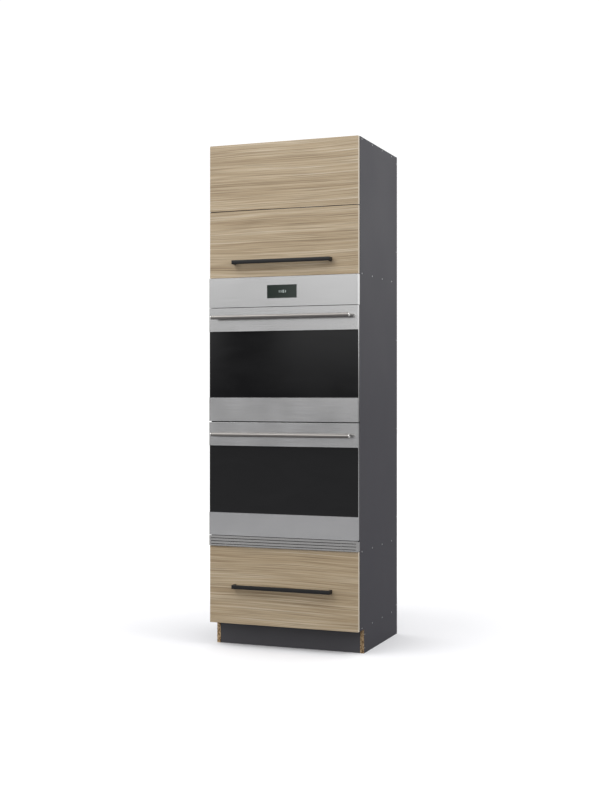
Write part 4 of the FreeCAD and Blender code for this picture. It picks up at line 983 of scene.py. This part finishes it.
class OVENUNIT_OT_fronts(bpy.types.Operator):
    """Finish the wooden fronts and build their bar handles"""
    bl_idname = "ovenunit.fronts"
    bl_label = "Fronts and bar handles"

    def execute(self, context):
        finish = context.scene.unit_finishes
        sizes = context.scene.unit_sizes
        fold_z = (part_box("flap_front_upper")[0].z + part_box("flap_front_lower")[1].z) / 2
        finish_nodes(oak_foil(finish, fold_z), "front_oak", "flap_front_upper", "flap_front_lower",
                     "drawer_front")
        # Aluminium bar in a matt black powder coat, sprayed: even, with a very fine orange peel.
        black = plain_finish("aluminium_powder_coated", finish.handle, drift=0.10, grain_mm=0.9,
                             roughness=0.46, rough_drift=0.06, relief_mm=0.05, gloss=0.3)
        bar_handle("flap_bar_handle", "flap_handle", sizes, black)
        bar_handle("drawer_bar_handle", "drawer_handle", sizes, black)
        # Zinc plate again, a little duller.
        zinc = plain_finish("handle_screw_zinc_plated", "#C4C5C6", drift=0.06, grain_mm=1.0,
                            roughness=0.38, rough_drift=0.07, relief_mm=0.03, metallic=1.0)
        finish_nodes(zinc, "screw_zinc", "flap_handle_screws", "drawer_handle_screws")
        return {"FINISHED"}


class OVENUNIT_OT_lift_fittings(bpy.types.Operator):
    """Finish the flap's hinges, spring boxes, arms and brackets"""
    bl_idname = "ovenunit.lift_fittings"
    bl_label = "Flap fittings"

    def execute(self, context):
        # Pressed steel, nickel plated: smooth and slightly warm.
        nickel = plain_finish("hinge_nickel_plated", "#BEBBB4", drift=0.05, grain_mm=0.7,
                              roughness=0.27, rough_drift=0.05, relief_mm=0.015, metallic=1.0)
        finish_nodes(nickel, "hinge_nickel", "flap_hinge_fixed_leaves", "flap_hinge_moving_leaves",
                     "centre_hinge_upper_leaves", "centre_hinge_lower_leaves", "door_hinge_lugs")
        # ABS, moulded with a fine spark-eroded skin: pale grey and satin.
        grey = plain_finish("lift_box_abs_moulded", "#B4B7BA", drift=0.03, grain_mm=0.8,
                            roughness=0.48, rough_drift=0.05, relief_mm=0.05)
        finish_nodes(grey, "lift_grey", "lift_boxes")
        # Flat steel, zinc plated and passivated: cool and a little mottled.
        steel = plain_finish("arm_steel_zinc_plated", "#B9BCC0", drift=0.07, grain_mm=1.6,
                             roughness=0.33, rough_drift=0.07, relief_mm=0.02, metallic=1.0)
        finish_nodes(steel, "arm_steel", "lift_arm_left", "lift_arm_right", "lift_arm_brackets")
        return {"FINISHED"}


class OVENUNIT_OT_drawer_box(bpy.types.Operator):
    """Finish the drawer's box and its runners"""
    bl_idname = "ovenunit.drawer_box"
    bl_label = "Drawer box"

    def execute(self, context):
        # Chipboard in light grey melamine, pressed: pale, even and dry to the eye.
        pale = plain_finish("drawer_melamine_pressed", "#C9CAC8", drift=0.03, grain_mm=1.4,
                            roughness=0.52, rough_drift=0.06, relief_mm=0.05)
        finish_nodes(pale, "drawer_board", "drawer_side_left", "drawer_side_right", "drawer_back",
                     "drawer_base")
        # Steel strip, galvanised and roll formed: drawn lines and a dull shine.
        zinc = brushed_steel("runner_steel_roll_formed", "#B4B8BD", roughness=0.38)
        finish_nodes(zinc, "runner_zinc", "runner_rails", "runner_slides", "runner_middle_left",
                     "runner_middle_right")
        return {"FINISHED"}


class OVENUNIT_OT_oven_front(bpy.types.Operator):
    """Finish the oven's steel, glass and display, and build its tube handles"""
    bl_idname = "ovenunit.oven_front"
    bl_label = "Oven front"

    def execute(self, context):
        finish = context.scene.unit_finishes
        sizes = context.scene.unit_sizes
        steel = brushed_steel("oven_stainless_brushed", finish.steel, roughness=0.22)
        finish_nodes(steel, "oven_steel", "control_fascia", "door_frame_upper", "door_frame_lower")
        low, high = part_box("vent_trim")
        # Painted shade: the vent's steel is darkened 2.5 mm inside its outline, for the shade in
        # its slots and behind its face.
        wall = Vector((2.5, 2.5, 2.5)) * MM
        vent = brushed_steel("vent_stainless_brushed", finish.vent, roughness=0.22,
                             inside=(low + wall, high - wall))
        finish_nodes(vent, "oven_steel", "vent_trim")
        # The door glass is opaque. Its near-black is partly tint and partly painted shade of the
        # dark oven behind it.
        glass = tinted_glass_and_shade("door_glass_tint_and_shade", finish.glass, roughness=0.04, gloss=0.30)
        finish_nodes(glass, "oven_glass", "door_panes_upper", "door_panes_lower")
        window = tinted_glass_and_shade("display_glass_tinted", finish.display, roughness=0.04, gloss=0.35)
        finish_nodes(window, "display_glass", "display_window")
        display_digits(sizes, sizes.clock, lit_digits())
        # Stainless tube, brushed along its length: duller than the sheet, and darker as painted
        # shade of the dark floor that it mirrors.
        tube = brushed_steel("handle_tube_brushed", finish.tube, roughness=0.32, line_mm=1.2)
        # Stainless plugs, polished: bright and smooth.
        cap = plain_finish("handle_plug_polished", "#E2E1DE", drift=0.02, grain_mm=1.0,
                           roughness=0.12, rough_drift=0.03, relief_mm=0.005, metallic=1.0)
        tube_handle("oven_tube_upper", "door_handle_upper", sizes, tube, cap)
        tube_handle("oven_tube_lower", "door_handle_lower", sizes, tube, cap)
        return {"FINISHED"}


class OVENUNIT_OT_oven_inside(bpy.types.Operator):
    """Finish the oven's cavities, casing and seals, and build its racks and grill tubes"""
    bl_idname = "ovenunit.oven_inside"
    bl_label = "Oven inside"

    def execute(self, context):
        sizes = context.scene.unit_sizes
        enamel = speckled_enamel("cavity_enamel_fired", "#2A2E36", "#8E97A6")
        finish_nodes(enamel, "cavity_enamel", "cavity_upper", "cavity_lower", "fan_covers")
        liner = speckled_enamel("liner_enamel_fired", "#26292F", "#7C8494")
        finish_nodes(liner, "liner_enamel", "door_liner_upper", "door_liner_lower")
        finish_nodes(galvanised_sheet(), "galvanised", "oven_casing")
        # Steel sheet, enamelled black on the frame behind the doors: satin and even.
        dark = plain_finish("front_frame_enamelled", "#3A3B3E", drift=0.05, grain_mm=1.5,
                            roughness=0.42, rough_drift=0.06, relief_mm=0.03)
        finish_nodes(dark, "frame_dark", "oven_front_frame")
        finish_nodes(woven_gasket(), "seal_rubber", "door_seals")
        # Wire, chrome plated: mirror bright, with faint heat tint.
        chrome = plain_finish("rack_chrome_plated", "#D9D8D4", drift=0.05, grain_mm=2.0,
                              roughness=0.12, rough_drift=0.04, relief_mm=0.006, metallic=1.0)
        wire_rack("wire_rack_upper", "rack_upper", sizes, chrome)
        wire_rack("wire_rack_lower", "rack_lower", sizes, chrome)
        # Heating tube, sheathed steel oxidised by heat: dark brown-grey and dry.
        sheath = plain_finish("heating_tube_oxidised", "#57514B", drift=0.18, grain_mm=2.0,
                              roughness=0.55, rough_drift=0.10, relief_mm=0.05, metallic=0.7)
        heating_tubes(sizes, sheath)
        # Aluminium sheet, pressed: soft silver.
        silver = plain_finish("fan_aluminium_pressed", "#C6C7C8", drift=0.05, grain_mm=1.2,
                              roughness=0.36, rough_drift=0.06, relief_mm=0.02, metallic=1.0)
        finish_nodes(silver, "fan_aluminium", "fan_upper", "fan_lower")
        # Motor can, dip painted black: slightly lumpy.
        can = plain_finish("motor_can_painted", "#2D2D2F", drift=0.08, grain_mm=2.5,
                           roughness=0.45, rough_drift=0.08, relief_mm=0.08)
        finish_nodes(can, "motor_black", "fan_motors")
        return {"FINISHED"}


class OVENUNIT_OT_stage(bpy.types.Operator):
    """Lay the floor, hang the lights and set the camera"""
    bl_idname = "ovenunit.stage"
    bl_label = "Stage"

    def execute(self, context):
        scene = context.scene
        stage = scene.unit_stage
        lay_floor(scene, stage)
        scene.world = studio_world()
        hang_lights(scene, stage)
        set_camera(scene, stage)
        return {"FINISHED"}


class OVENUNIT_PT_panel(bpy.types.Panel):
    """Lists the steps that dress the unit"""
    bl_label = "Oven unit"
    bl_idname = "OVENUNIT_PT_panel"
    bl_space_type = "VIEW_3D"
    bl_region_type = "UI"
    bl_category = "Oven unit"

    def draw(self, context):
        for step in STEPS:
            self.layout.operator(step.bl_idname)
        for group in (context.scene.unit_finishes, context.scene.unit_sizes,
                      context.scene.unit_stage):
            column = self.layout.column(align=True)
            for key in group.__annotations__:
                column.prop(group, key)


STEPS = (OVENUNIT_OT_boards, OVENUNIT_OT_fronts, OVENUNIT_OT_lift_fittings, OVENUNIT_OT_drawer_box,
         OVENUNIT_OT_oven_front, OVENUNIT_OT_oven_inside, OVENUNIT_OT_stage)
CLASSES = (UnitFinishes, UnitSizes, StageSettings) + STEPS + (OVENUNIT_PT_panel,)


def register():
    for cls in CLASSES:
        bpy.utils.register_class(cls)
    bpy.types.Scene.unit_finishes = PointerProperty(type=UnitFinishes)
    bpy.types.Scene.unit_sizes = PointerProperty(type=UnitSizes)
    bpy.types.Scene.unit_stage = PointerProperty(type=StageSettings)


def unregister():
    del bpy.types.Scene.unit_stage
    del bpy.types.Scene.unit_sizes
    del bpy.types.Scene.unit_finishes
    for cls in reversed(CLASSES):
        bpy.utils.unregister_class(cls)


def main():
    register()
    bpy.ops.ovenunit.boards()
    bpy.ops.ovenunit.fronts()
    bpy.ops.ovenunit.lift_fittings()
    bpy.ops.ovenunit.drawer_box()
    bpy.ops.ovenunit.oven_front()
    bpy.ops.ovenunit.oven_inside()
    bpy.ops.ovenunit.stage()


if __name__ == "__main__":
    main()
